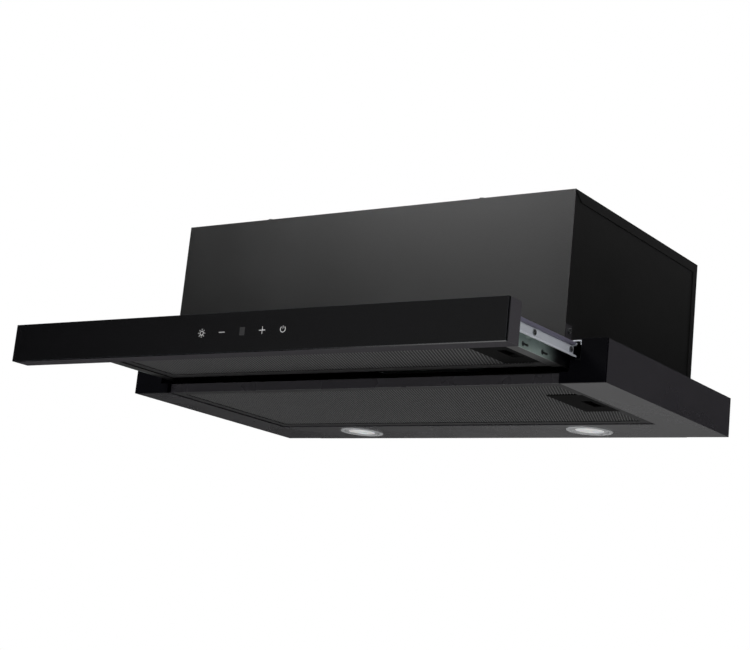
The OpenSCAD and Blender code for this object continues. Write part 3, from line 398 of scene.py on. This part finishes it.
def lens_plastic():
    """Opal diffusing lens of the unlit lamp, with a faint clouded glow painted on as light."""
    material, tree, shader = new_material("lamp_lens")
    clouded(tree, shader.inputs["Base Color"], 55.0, (0.86, 0.87, 0.88), (0.95, 0.95, 0.95))
    # Painted light: the unlit lens glows faintly.
    clouded(tree, shader.inputs["Emission Color"], 55.0, (0.55, 0.56, 0.57), (1.0, 1.0, 1.0))
    shader.inputs["Emission Strength"].default_value = 0.22
    shader.inputs["Roughness"].default_value = 0.28
    shader.inputs["Subsurface Weight"].default_value = 0.2
    shader.inputs["Subsurface Scale"].default_value = 0.002
    return material


def circuit_board():
    """Green solder mask with rows of paler copper tracks under it."""
    material, tree, shader = new_material("circuit_board")
    brick = tree.nodes.new("ShaderNodeTexBrick")
    tree.links.new(object_point(tree), brick.inputs["Vector"])
    brick.inputs["Scale"].default_value = 120.0
    brick.inputs["Mortar Size"].default_value = 0.03
    brick.inputs["Color1"].default_value = (0.02, 0.11, 0.05, 1)
    brick.inputs["Color2"].default_value = (0.025, 0.13, 0.06, 1)
    brick.inputs["Mortar"].default_value = (0.06, 0.24, 0.11, 1)
    tree.links.new(brick.outputs["Color"], shader.inputs["Base Color"])
    shader.inputs["Roughness"].default_value = 0.35
    return material


# Colour, edge colour (worn coat and painted highlight), roughness, specular level, grain scale,
# grain depth in mm, and the strength of the shifts of tone where it isn't the usual one.
COATS = {
    "base_black": ((0.034, 0.032, 0.037), (0.10, 0.10, 0.11), 0.28, 0.5, 700.0, 0.02),
    "housing_black": ((0.005, 0.005, 0.0051), (0.06, 0.06, 0.06), 0.32, 0.5, 620.0, 0.08, 0.6),
    "cap_plastic": ((0.0012, 0.0012, 0.0024), (0.02, 0.02, 0.03), 0.5, 0.04, 900.0, 0.02),
    "panel_black": ((0.058, 0.055, 0.061), (0.14, 0.14, 0.15), 0.40, 0.005, 700.0, 0.02),
    "shelf_black": ((0.014, 0.014, 0.0145), (0.09, 0.09, 0.09), 0.36, 0.4, 700.0, 0.02),
    "filter_rim": ((0.040, 0.040, 0.041), (0.10, 0.10, 0.10), 0.40, 0.03, 800.0, 0.02),
    "latch_plastic": ((0.009, 0.009, 0.009), (0.03, 0.03, 0.03), 0.5, 0.005, 900.0, 0.03),
    "duct_plastic": ((0.016, 0.016, 0.017), (0.05, 0.05, 0.05), 0.45, 0.4, 800.0, 0.03),
    "flap_plastic": ((0.03, 0.031, 0.033), (0.07, 0.07, 0.07), 0.45, 0.4, 800.0, 0.03),
    "scroll_plastic": ((0.36, 0.38, 0.40), (0.5, 0.5, 0.5), 0.45, 0.4, 600.0, 0.04),
    "impeller_plastic": ((0.04, 0.042, 0.045), (0.1, 0.1, 0.1), 0.45, 0.4, 800.0, 0.03),
    "capacitor_case": ((0.75, 0.75, 0.72), (0.8, 0.8, 0.78), 0.4, 0.4, 600.0, 0.02),
    "driver_case": ((0.76, 0.76, 0.74), (0.82, 0.82, 0.8), 0.4, 0.4, 600.0, 0.02),
    "box_plastic": ((0.03, 0.031, 0.033), (0.08, 0.08, 0.08), 0.45, 0.4, 700.0, 0.03),
    "gland_plastic": ((0.02, 0.02, 0.02), (0.06, 0.06, 0.06), 0.4, 0.4, 900.0, 0.03),
    "sensor_plastic": ((0.05, 0.05, 0.052), (0.1, 0.1, 0.1), 0.45, 0.4, 900.0, 0.03),
    "magnet": ((0.09, 0.09, 0.095), (0.15, 0.15, 0.15), 0.5, 0.4, 900.0, 0.03),
    "black_tape": ((0.008, 0.008, 0.009), (0.015, 0.015, 0.015), 0.8, 0.2, 1500.0, 0.08),
}
# Two colours, roughness, spangle scale, and what else sets the metal apart, among it the run along
# Y into painted shade inside the rail's mouth.
PLATES = {
    "zinc": ((0.26, 0.33, 0.305), (0.36, 0.44, 0.41), 0.38, 160.0,
             dict(metal=0.4, mouth_shade_span=(-0.195, -0.160))),
    "slide_steel": ((0.74, 0.77, 0.83), (0.66, 0.69, 0.75), 0.42, 60.0,
                    dict(depth=0.0, metal=0.35, mouth_shade_span=(-0.1437, -0.1415))),
    "ball_steel": ((0.85, 0.86, 0.88), (0.8, 0.81, 0.83), 0.1, 500.0, dict(depth=0.0)),
    "screw_steel": ((0.36, 0.37, 0.38), (0.3, 0.31, 0.32), 0.25, 700.0, dict(metal=0.9)),
    "spring_steel": ((0.62, 0.63, 0.65), (0.5, 0.51, 0.53), 0.25, 900.0, {}),
    "pin_steel": ((0.7, 0.71, 0.72), (0.6, 0.61, 0.62), 0.22, 700.0, {}),
    "motor_steel": ((0.5, 0.52, 0.54), (0.42, 0.44, 0.46), 0.35, 300.0, {}),
    "bracket_steel": ((0.56, 0.58, 0.58), (0.46, 0.48, 0.48), 0.35, 150.0, {}),
    "lamp_ring": ((0.60, 0.61, 0.62), (0.54, 0.55, 0.56), 0.35, 900.0, dict(metal=0.2)),
    "lamp_body": ((0.55, 0.56, 0.57), (0.45, 0.46, 0.47), 0.45, 300.0, {}),
}

materials = {name: coated(name, *values) for name, values in COATS.items()}
materials |= {name: plated(name, *values, **named)
              for name, (*values, named) in PLATES.items()}
materials |= {"black_glass": black_glass(), "lamp_lens": lens_plastic(),
              "filter_mesh": mesh_coat(), "circuit_board": circuit_board()}

# The upper race of the pulled-out slides lies above RACE_Z, and ahead of RACE_REAR.
RACE_Z = -6.6 * MM
RACE_REAR = (-0.1460, -0.1448)
# Violet painted shade of the upper race.
RACE_SHADE_VIOLET = (0.20, 0.19, 0.26, 1)


def shade_upper_race(material):
    """Painted shade: the rolled upper race of the pulled-out slides is darkened and tinted violet.
    """
    tree = material.node_tree
    coat = tree.nodes["Principled BSDF"].inputs["Base Color"]
    upper = ramp(tree, place_along(tree, "Z"), (RACE_Z - 0.2 * MM, 0.0), (RACE_Z + 0.2 * MM, 1.0))
    ahead = ramp(tree, place_along(tree, "Y"), (RACE_REAR[0], 1.0), (RACE_REAR[1], 0.0))
    race = math_node(tree, "MULTIPLY", upper, ahead)
    plain = coat.links[0].from_socket
    tree.links.new(mixed_colour(tree, race, plain, RACE_SHADE_VIOLET), coat)


shade_upper_race(materials["slide_steel"])

for subpart in record["subparts"]:
    for slot in nodes[subpart["node"]].material_slots:
        slot.material = materials[subpart["material_slot"]]


# ---------- grease filter meshes ----------

STEPS = 4  # points to a pitch
STRAND_HALF = 0.3  # how far the height runs out from a strand's middle, in pitches
LOWER_STRAND = 0.4  # how deep the second kind of strand lies, as a share of the sheet's depth
MESH_DEPTH = 0.6 * MM
SHEET_THICKNESS = 0.75 * MM
BACK_PITCH = (6.4, 14.0)


def expanded_sheet(low, high, face, depth, pitch, gap):
    """A sheet of expanded metal. With u and v the place in pitches, its strands follow the
    lines where u + v or u - v is a whole number, and those of the second kind lie deeper.
    Away from a strand the height falls from the face to depth behind it. Cells inside the
    gap (low, high corner) are left out, and the outermost points stay on the face."""
    cols, rows = np.round((high - low) / pitch * STEPS).astype(int) + 1
    x, y = np.linspace(low[0], high[0], cols), np.linspace(low[1], high[1], rows)
    row, col = np.meshgrid(np.arange(rows), np.arange(cols), indexing="ij")
    rising, falling = (row + col) % STEPS, (row - col) % STEPS
    from_rising = np.minimum(rising, STEPS - rising) / STEPS
    from_falling = np.minimum(falling, STEPS - falling) / STEPS
    opening = np.minimum(np.clip(from_rising / STRAND_HALF, 0, 1),
                         LOWER_STRAND + np.clip(from_falling / STRAND_HALF, 0, 1 - LOWER_STRAND))
    opening[[0, -1]] = 0
    opening[:, [0, -1]] = 0
    points = np.stack([x[col], y[row], face + opening * depth], axis=-1).reshape(-1, 3)
    a, b, c, d = lattice_faces(rows, cols).T
    along = (from_rising <= from_falling)[:-1, :-1].ravel()
    first = np.where(along[:, None], np.stack([a, b, d], -1), np.stack([a, b, c], -1))
    second = np.where(along[:, None], np.stack([b, c, d], -1), np.stack([a, c, d], -1))
    middle = (points[a] + points[c]) / 2
    kept = ~((middle[:, 0] > gap[0][0]) & (middle[:, 0] < gap[1][0])
             & (middle[:, 1] > gap[0][1]) & (middle[:, 1] < gap[1][1]))
    return points, np.concatenate([first[kept], second[kept]]), opening.ravel()


def closed_sheet(piece, back):
    """Gives a sheet a flat back at the height back: its borders are drawn back to that
    height and the outline between them is filled."""
    work = bmesh.new()
    work.from_mesh(piece.data)
    loose = [v for v in work.verts if not v.link_faces]
    bmesh.ops.delete(work, geom=loose, context="VERTS")
    border = [e for e in work.edges if e.is_boundary]
    drawn = bmesh.ops.extrude_edge_only(work, edges=border)["geom"]
    for vertex in (v for v in drawn if isinstance(v, bmesh.types.BMVert)):
        vertex.co.z = back
    rim = [e for e in drawn if isinstance(e, bmesh.types.BMEdge) and e.is_boundary]
    bmesh.ops.triangle_fill(work, edges=rim, use_beauty=False)
    bmesh.ops.recalc_face_normals(work, faces=work.faces)
    work.to_mesh(piece.data)
    work.free()


def filter_mesh(name, body, latch, pitch):
    """Both expanded sheets of a filter, in place of its plain ones; pitch is that of the
    sheet that shows from below, in millimetres."""
    low, high = (np.array(corner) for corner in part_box(name))
    latch_low, latch_high = (np.array(corner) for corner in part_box(latch))
    gap = (latch_low[:2], latch_high[:2])
    sheets = []
    for face, depth, back, pitch in [
            (low[2], MESH_DEPTH, low[2] + SHEET_THICKNESS, pitch),
            (high[2], -MESH_DEPTH, high[2] - SHEET_THICKNESS, BACK_PITCH)]:
        points, faces, opening = expanded_sheet(low[:2], high[:2], face, depth,
                                                np.array(pitch) * MM, gap)
        piece = piece_of(f"{name}_sheet_{len(sheets)}", points, faces, body, "filter_mesh",
                         smooth=True)
        attribute = piece.data.attributes.new("opening", "FLOAT", "POINT")
        attribute.data.foreach_set("value", opening)
        closed_sheet(piece, back)
        sheets.append(piece)
    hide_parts(name)


filter_mesh("main_filter_mesh", "main_filter", "main_latch_plate", (3.2, 7.8))
filter_mesh("shelf_filter_mesh", "shelf_filter", "shelf_latch_plate", (3.6, 8.8))


# ---------- latch springs ----------

SPRING_WIRE = 0.35 * MM
SPRING_TURNS = 5
TURN_STEPS = 24
WIRE_SIDES = 10


def coil(low, high, y, z, radius):
    """A helical wire along X: point (a, b) lies radius + wire cos b from the axis at the
    angle a, and at an x that grows in proportion to a, plus wire sin b."""
    rows, cols = SPRING_TURNS * TURN_STEPS + 1, WIRE_SIDES
    a = np.linspace(0, 2 * np.pi * SPRING_TURNS, rows)[:, None]
    b = np.linspace(0, 2 * np.pi, cols, endpoint=False)[None, :]
    reach = radius + SPRING_WIRE * np.cos(b)
    x = low + SPRING_WIRE + (high - low - 2 * SPRING_WIRE) * a / a[-1] + SPRING_WIRE * np.sin(b)
    points = np.stack([x, y + reach * np.cos(a), z + reach * np.sin(a)], axis=-1).reshape(-1, 3)
    last = (rows - 1) * cols
    faces = lattice_faces(rows, cols, False, True)[:, ::-1].tolist()
    return points, faces + [list(range(cols)), list(range(last + cols - 1, last - 1, -1))]


def latch_springs(name, body):
    """The two springs of a latch, which shorten as its slider is drawn back; here they are fixed
    coils on the filter's body and keep their length.
    """
    low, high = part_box(name)
    outer = (high.z - low.z) / 2
    points, faces = joined([coil(low.x, high.x, y, low.z + outer, outer - SPRING_WIRE)
                            for y in (low.y + outer, high.y - outer)])
    piece = piece_of(f"{name}_coils", points, faces, body, "spring_steel", [name], True)
    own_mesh(piece)


latch_springs("main_latch_springs", "main_filter")
latch_springs("shelf_latch_springs", "shelf_filter")


# ---------- lamps ----------

def lamp_places():
    """Middles of the two lamps at the underside of the rear strip, and the bezel's radius."""
    low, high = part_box("lamp_bezels")
    radius = (high.y - low.y) / 2
    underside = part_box("lamp_strip")[0].z
    return [(sign * (high.x - radius), (low.y + high.y) / 2, underside) for sign in (-1, 1)], radius


# Radii and heights of the lamps, in mm.
LENS_R, LENS_BORE = 15.9, 16.0
FLANGE_R, FLANGE_TOP = 19.8, 3.1
SLEEVE_IN, SLEEVE_OUT, SLEEVE_TOP = 22.4, 23.4, 7.0
RING_BACK = 1.7
AXIS_R = 0.05


def lamp_rings():
    """Turned bezels, as (r, z) turned: a crowned outer ring, a fine groove, an inner ring
    that slopes up to the lens, and a sleeve through the strip."""
    places, radius = lamp_places()
    rim = radius / MM
    corners = np.array([  # radius, height and corner radius in mm
        (rim, 0, 0.1), (rim, -0.5, 0.2), (rim - 0.8, -1.15, 0.35),
        (21.0, -1.0, 0.15), (20.9, 0.8, 0.05), (20.2, 0.8, 0.05), (20.1, -0.8, 0.2),
        (16.4, -0.4, 0.2), (LENS_BORE + 0.3, 1.4, 0.1), (LENS_BORE, 1.4, 0.05),
        (LENS_BORE, RING_BACK, 0.1), (SLEEVE_IN, RING_BACK, 0.1), (SLEEVE_IN, SLEEVE_TOP, 0.1),
        (SLEEVE_OUT, SLEEVE_TOP, 0.1), (SLEEVE_OUT, 0, 0.1)]) * MM
    profile = rounded(corners[:, :2], corners[:, 2])[::-1]
    points, faces = joined([turned(profile, place) for place in places])
    piece_of("lamp_bezel_rings", points, faces, "hood", "lamp_ring", ["lamp_bezels"], True)


def lamp_glasses():
    """Lenses, as (r, z) turned: z falls to a low middle as the square of r, with fine rings
    as a cosine of r, and a flat flange closes the back."""
    places, _ = lamp_places()
    r = np.linspace(AXIS_R, LENS_R, 54)
    dome = -0.45 + 0.3 * (r / LENS_R) ** 2 + 0.05 * np.cos(2 * np.pi * r / 1.6)
    front = np.stack([r, dome], axis=-1)
    back = np.array([(LENS_R, RING_BACK), (FLANGE_R, RING_BACK + 0.05), (FLANGE_R, FLANGE_TOP),
                     (AXIS_R, FLANGE_TOP)])
    profile = np.concatenate([front, back])[::-1] * MM
    points, faces = joined([turned(profile, place) for place in places])
    piece_of("lamp_glasses", points, faces, "hood", "lamp_lens", ["lamp_lenses"], True)


lamp_rings()
lamp_glasses()


# ---------- touch symbols ----------

def key_ink():
    """Pale ink of the touch symbols."""
    material, tree, shader = new_material("key_ink")
    clouded(tree, shader.inputs["Base Color"], 400.0, (0.80, 0.80, 0.81), (0.95, 0.95, 0.96))
    shader.inputs["Roughness"].default_value = 0.5
    return material


def stroke(path, width, depth, closed=False):
    """A flat line drawn on the glass: an oblong section carried along a path of (x, z)
    points, its width across the path and its depth along Y."""
    path = np.asarray(path, float)
    if closed:
        along = np.roll(path, -1, axis=0) - np.roll(path, 1, axis=0)
    else:
        along = np.gradient(path, axis=0)
    along /= np.linalg.norm(along, axis=1, keepdims=True)
    across = np.stack([-along[:, 1], along[:, 0]], axis=-1) * width / 2
    rings = []
    for side, y in [(-1, 0.0), (1, 0.0), (1, -depth), (-1, -depth)]:
        edge = path + side * across
        rings.append(np.stack([edge[:, 0], np.full(len(path), y), edge[:, 1]], axis=-1))
    points = np.stack(rings, axis=1).reshape(-1, 3)
    faces = lattice_faces(len(path), 4, closed, True).tolist()
    if not closed:
        last = 4 * (len(path) - 1)
        faces += [[3, 2, 1, 0], [last, last + 1, last + 2, last + 3]]
    return points, faces


def arc(radius, start, end, steps=40):
    """Points of an arc about the origin, between two angles in degrees."""
    angle = np.radians(np.linspace(start, end, steps))
    return np.stack([radius * np.cos(angle), radius * np.sin(angle)], axis=-1)


KEY_DEPTH = 0.03 * MM
KEY_LINE = 0.55 * MM
FINE_LINE = 0.45 * MM


def sun_key():
    """Ring with eight short rays."""
    parts = [stroke(arc(2.0 * MM, 0, 351), 0.5 * MM, KEY_DEPTH, True)]
    for angle in np.radians(np.arange(0, 360, 45)):
        ray = np.array([[3.1], [4.4]]) * MM * [[np.cos(angle), np.sin(angle)]]
        parts.append(stroke(ray, FINE_LINE, KEY_DEPTH))
    return parts


def bar_key(half_x, half_z, depth=KEY_DEPTH):
    """Upright or level bar through the origin."""
    return stroke([(-half_x, -half_z), (half_x, half_z)], KEY_LINE, depth)


def power_key():
    """Ring open at the top, with an upright bar in the gap."""
    return [stroke(arc(2.9 * MM, 130, 410, 44), KEY_LINE, KEY_DEPTH),
            stroke([(0, 0.5 * MM), (0, 3.4 * MM)], FINE_LINE, KEY_DEPTH)]


def touch_keys():
    """The four symbols, each as its own part of one printed layer on the glass."""
    glass_low, glass_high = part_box("panel_glass")
    middle = (glass_low.z + glass_high.z) / 2 + 0.3 * MM
    symbols = [
        (-40.0, sun_key()),
        (-14.7, [bar_key(3.7 * MM, 0)]),
        (35.0, [bar_key(3.7 * MM, 0), bar_key(0, 3.6 * MM, 0.8 * KEY_DEPTH)]),
        (59.7, power_key())]
    parts = []
    for x, strokes in symbols:
        for points, faces in strokes:
            parts.append((points + [x * MM, glass_low.y, middle], faces))
    points, faces = joined(parts)
    return piece_of("touch_symbols", points, faces, "shelf", "lamp_lens")


def display_window():
    """Dim level display between the keys: an oblong with rounded corners, as thin as the
    printing."""
    glass_low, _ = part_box("panel_glass")
    corners = np.array([(7.4, -29.9), (13.7, -29.9), (13.7, -21.9), (7.4, -21.9)]) * MM
    outline = rounded(corners, np.full(4, 0.6 * MM))
    front = np.stack([outline[:, 0], np.full(len(outline), glass_low.y - KEY_DEPTH),
                      outline[:, 1]], axis=-1)
    points = np.concatenate([front, front + [0, KEY_DEPTH, 0]])
    count = len(outline)
    sides = lattice_faces(2, count, False, True)[:, ::-1].tolist()
    faces = sides + [list(range(count)), list(range(2 * count - 1, count - 1, -1))]
    return piece_of("display_window", points, faces, "shelf", "panel_black")


def display_film():
    """Smoked film of the unlit display."""
    material, tree, shader = new_material("display_film")
    clouded(tree, shader.inputs["Base Color"], 300.0, (0.007, 0.007, 0.0082),
            (0.010, 0.010, 0.0115))
    shader.inputs["Roughness"].default_value = 0.4
    return material


touch_keys().data.materials[0] = key_ink()
display_window().data.materials[0] = display_film()


# ---------- studio ----------

def aimed(position, target, roll=0.0):
    """World matrix that looks from position at target, turned by roll about that line."""
    forward = (Vector(target) - Vector(position)).normalized()
    right = forward.cross(Vector((0, 0, 1))).normalized()
    up = right.cross(forward)
    turned_right = math.cos(roll) * right + math.sin(roll) * up
    turned_up = -math.sin(roll) * right + math.cos(roll) * up
    rows = Matrix((turned_right, turned_up, -forward)).transposed()
    return Matrix.Translation(position) @ rows.to_4x4()


CAMERA_AT = (1.00156, -1.47772, -0.33639)
CAMERA_AIM = (0.022314, -0.136181, 0.026049)
CAMERA_ROLL = math.radians(5.905)
CAMERA_LENS = 78.307


def studio_camera():
    """The photograph's viewpoint, found from the hood's own corners."""
    data = bpy.data.cameras.new("camera")
    data.lens = CAMERA_LENS
    data.sensor_width = 36.0
    data.clip_start = 0.05
    camera = bpy.data.objects.new("camera", data)
    bpy.context.scene.collection.objects.link(camera)
    camera.matrix_world = aimed(CAMERA_AT, CAMERA_AIM, CAMERA_ROLL)
    bpy.context.scene.camera = camera


def seen_directly(tree):
    """1 for camera, glossy and transmission rays, which show the background's own white."""
    ray = tree.nodes.new("ShaderNodeLightPath").outputs
    either = math_node(tree, "MAXIMUM", ray["Is Camera Ray"], ray["Is Glossy Ray"])
    return math_node(tree, "MAXIMUM", either, ray["Is Transmission Ray"])


WORLD_LIGHT = 0.3


def studio_world():
    """White where it is seen, and a softer light on the object."""
    world = bpy.data.worlds.new("studio")
    bpy.context.scene.world = world
    world.use_nodes = True
    tree = world.node_tree
    background = tree.nodes["Background"]
    background.inputs["Color"].default_value = WHITE
    strength = math_node(tree, "MULTIPLY_ADD", seen_directly(tree), 1.0 - WORLD_LIGHT, WORLD_LIGHT)
    tree.links.new(strength, background.inputs["Strength"])


def softbox(name, position, target, width, height, power):
    """A rectangular lamp aimed at a point."""
    data = bpy.data.lights.new(name, "AREA")
    data.shape = "RECTANGLE"
    data.size, data.size_y, data.energy = width, height, power
    lamp = bpy.data.objects.new(name, data)
    bpy.context.scene.collection.objects.link(lamp)
    lamp.matrix_world = aimed(position, target)


def stage_plane(name, corners, material):
    """A four-cornered sheet of the stage."""
    mesh = bpy.data.meshes.new(name)
    mesh.from_pydata(corners, [], [(0, 1, 2, 3)])
    mesh.materials.append(material)
    plane = bpy.data.objects.new(name, mesh)
    bpy.context.scene.collection.objects.link(plane)
    return plane


FLOOR_Z = -0.62
FLOOR_HALF = 14.0
FLOOR_GLOW = 1.12
FLOOR_GLOW_SHARE = 0.85  # the rest is paper, which takes the object's shadow


def floor():
    """Pale floor that shows the background's white and keeps the object's soft shadow; it
    is clear from below."""
    material, tree, shader = new_material("floor_paper")
    shader.inputs["Base Color"].default_value = (0.8, 0.8, 0.8, 1)
    shader.inputs["Roughness"].default_value = 0.9
    shader.inputs["Specular IOR Level"].default_value = 0.0
    glow = tree.nodes.new("ShaderNodeEmission")
    glow.inputs["Color"].default_value = WHITE
    glow.inputs["Strength"].default_value = FLOOR_GLOW
    blend = tree.nodes.new("ShaderNodeMixShader")
    glow_share = math_node(tree, "MULTIPLY", seen_directly(tree), FLOOR_GLOW_SHARE)
    tree.links.new(glow_share, blend.inputs[0])
    tree.links.new(shader.outputs[0], blend.inputs[1])
    tree.links.new(glow.outputs[0], blend.inputs[2])
    below = tree.nodes.new("ShaderNodeMixShader")
    tree.links.new(tree.nodes.new("ShaderNodeNewGeometry").outputs["Backfacing"], below.inputs[0])
    tree.links.new(blend.outputs[0], below.inputs[1])
    tree.links.new(tree.nodes.new("ShaderNodeBsdfTransparent").outputs[0], below.inputs[2])
    tree.links.new(below.outputs[0], tree.nodes["Material Output"].inputs["Surface"])
    h = FLOOR_HALF
    stage_plane("floor", [(-h, -h, FLOOR_Z), (h, -h, FLOOR_Z), (h, h, FLOOR_Z), (-h, h, FLOOR_Z)],
                material)


def grey_card(name, corners, *runs):
    """A grey card around or under the object, seen only in its gloss. Its level is the
    product of runs, each an axis and two (place, level) pairs along it."""
    material, tree, shader = new_material(name)
    level = 1.0
    for axis, low, high in runs:
        run = ramp(tree, place_along(tree, axis), low, high)
        level = math_node(tree, "MULTIPLY", run, level)
    shader.inputs["Base Color"].default_value = (0, 0, 0, 1)
    shader.inputs["Specular IOR Level"].default_value = 0.0
    shader.inputs["Emission Color"].default_value = WHITE
    tree.links.new(level, shader.inputs["Emission Strength"])
    card = stage_plane(name, corners, material)
    card.visible_camera = False
    card.visible_diffuse = False
    card.visible_shadow = False
    card.visible_transmission = False


LEFT, RIGHT, FAR_RIGHT = -8.0, 2.4, 4.0
FRONT, REAR = -2.8, 9.0
CARD_LOW, CARD_HIGH = -0.6, 7.0


def upright(x0, y0, x1, y1):
    """Corners of an upright card over the line from (x0, y0) to (x1, y1)."""
    return [(x0, y0, CARD_LOW), (x1, y1, CARD_LOW), (x1, y1, CARD_HIGH), (x0, y0, CARD_HIGH)]


def level_card():
    """Corners of the card that lies just over the floor."""
    return [(LEFT, FRONT, CARD_LOW), (FAR_RIGHT, FRONT, CARD_LOW), (FAR_RIGHT, REAR, CARD_LOW),
            (LEFT, REAR, CARD_LOW)]


studio_camera()
studio_world()
floor()
softbox("key", (-1.6, -2.6, 1.75), (0, 0, 0.02), 0.9, 0.9, 36.0)
softbox("top", (-0.3, 0.6, 2.6), (0, 0, 0), 2.2, 1.6, 18.0)
softbox("fill", (2.6, -0.9, 0.9), (0.2, 0, 0), 1.0, 1.0, 20.0)
softbox("low", (-0.4, -2.6, -0.42), (0, -0.1, 0), 0.8, 0.3, 8.0)
grey_card("front_card", upright(LEFT, FRONT, FAR_RIGHT, FRONT), ("X", (-3.4, 0.01), (-1.0, 0.2)))
grey_card("right_card", upright(RIGHT, FRONT, RIGHT, REAR), ("Z", (1.5, 0.0), (2.2, 0.28)))
grey_card("left_card", upright(LEFT, FRONT, LEFT, REAR), ("Z", (-0.6, 0.0), (2.0, 0.05)))
grey_card("back_card", upright(LEFT, REAR, RIGHT, REAR), ("X", (-3.0, 0.0), (0.0, 0.1)))
grey_card("floor_card", level_card(), ("X", (-1.8, 0.0), (-0.8, 0.19)),
          ("X", (-0.6, 1.0), (0.6, 0.1)), ("Y", (1.7, 2.8), (2.7, 1.0)))

scene = bpy.context.scene
scene.view_settings.view_transform = "Standard"
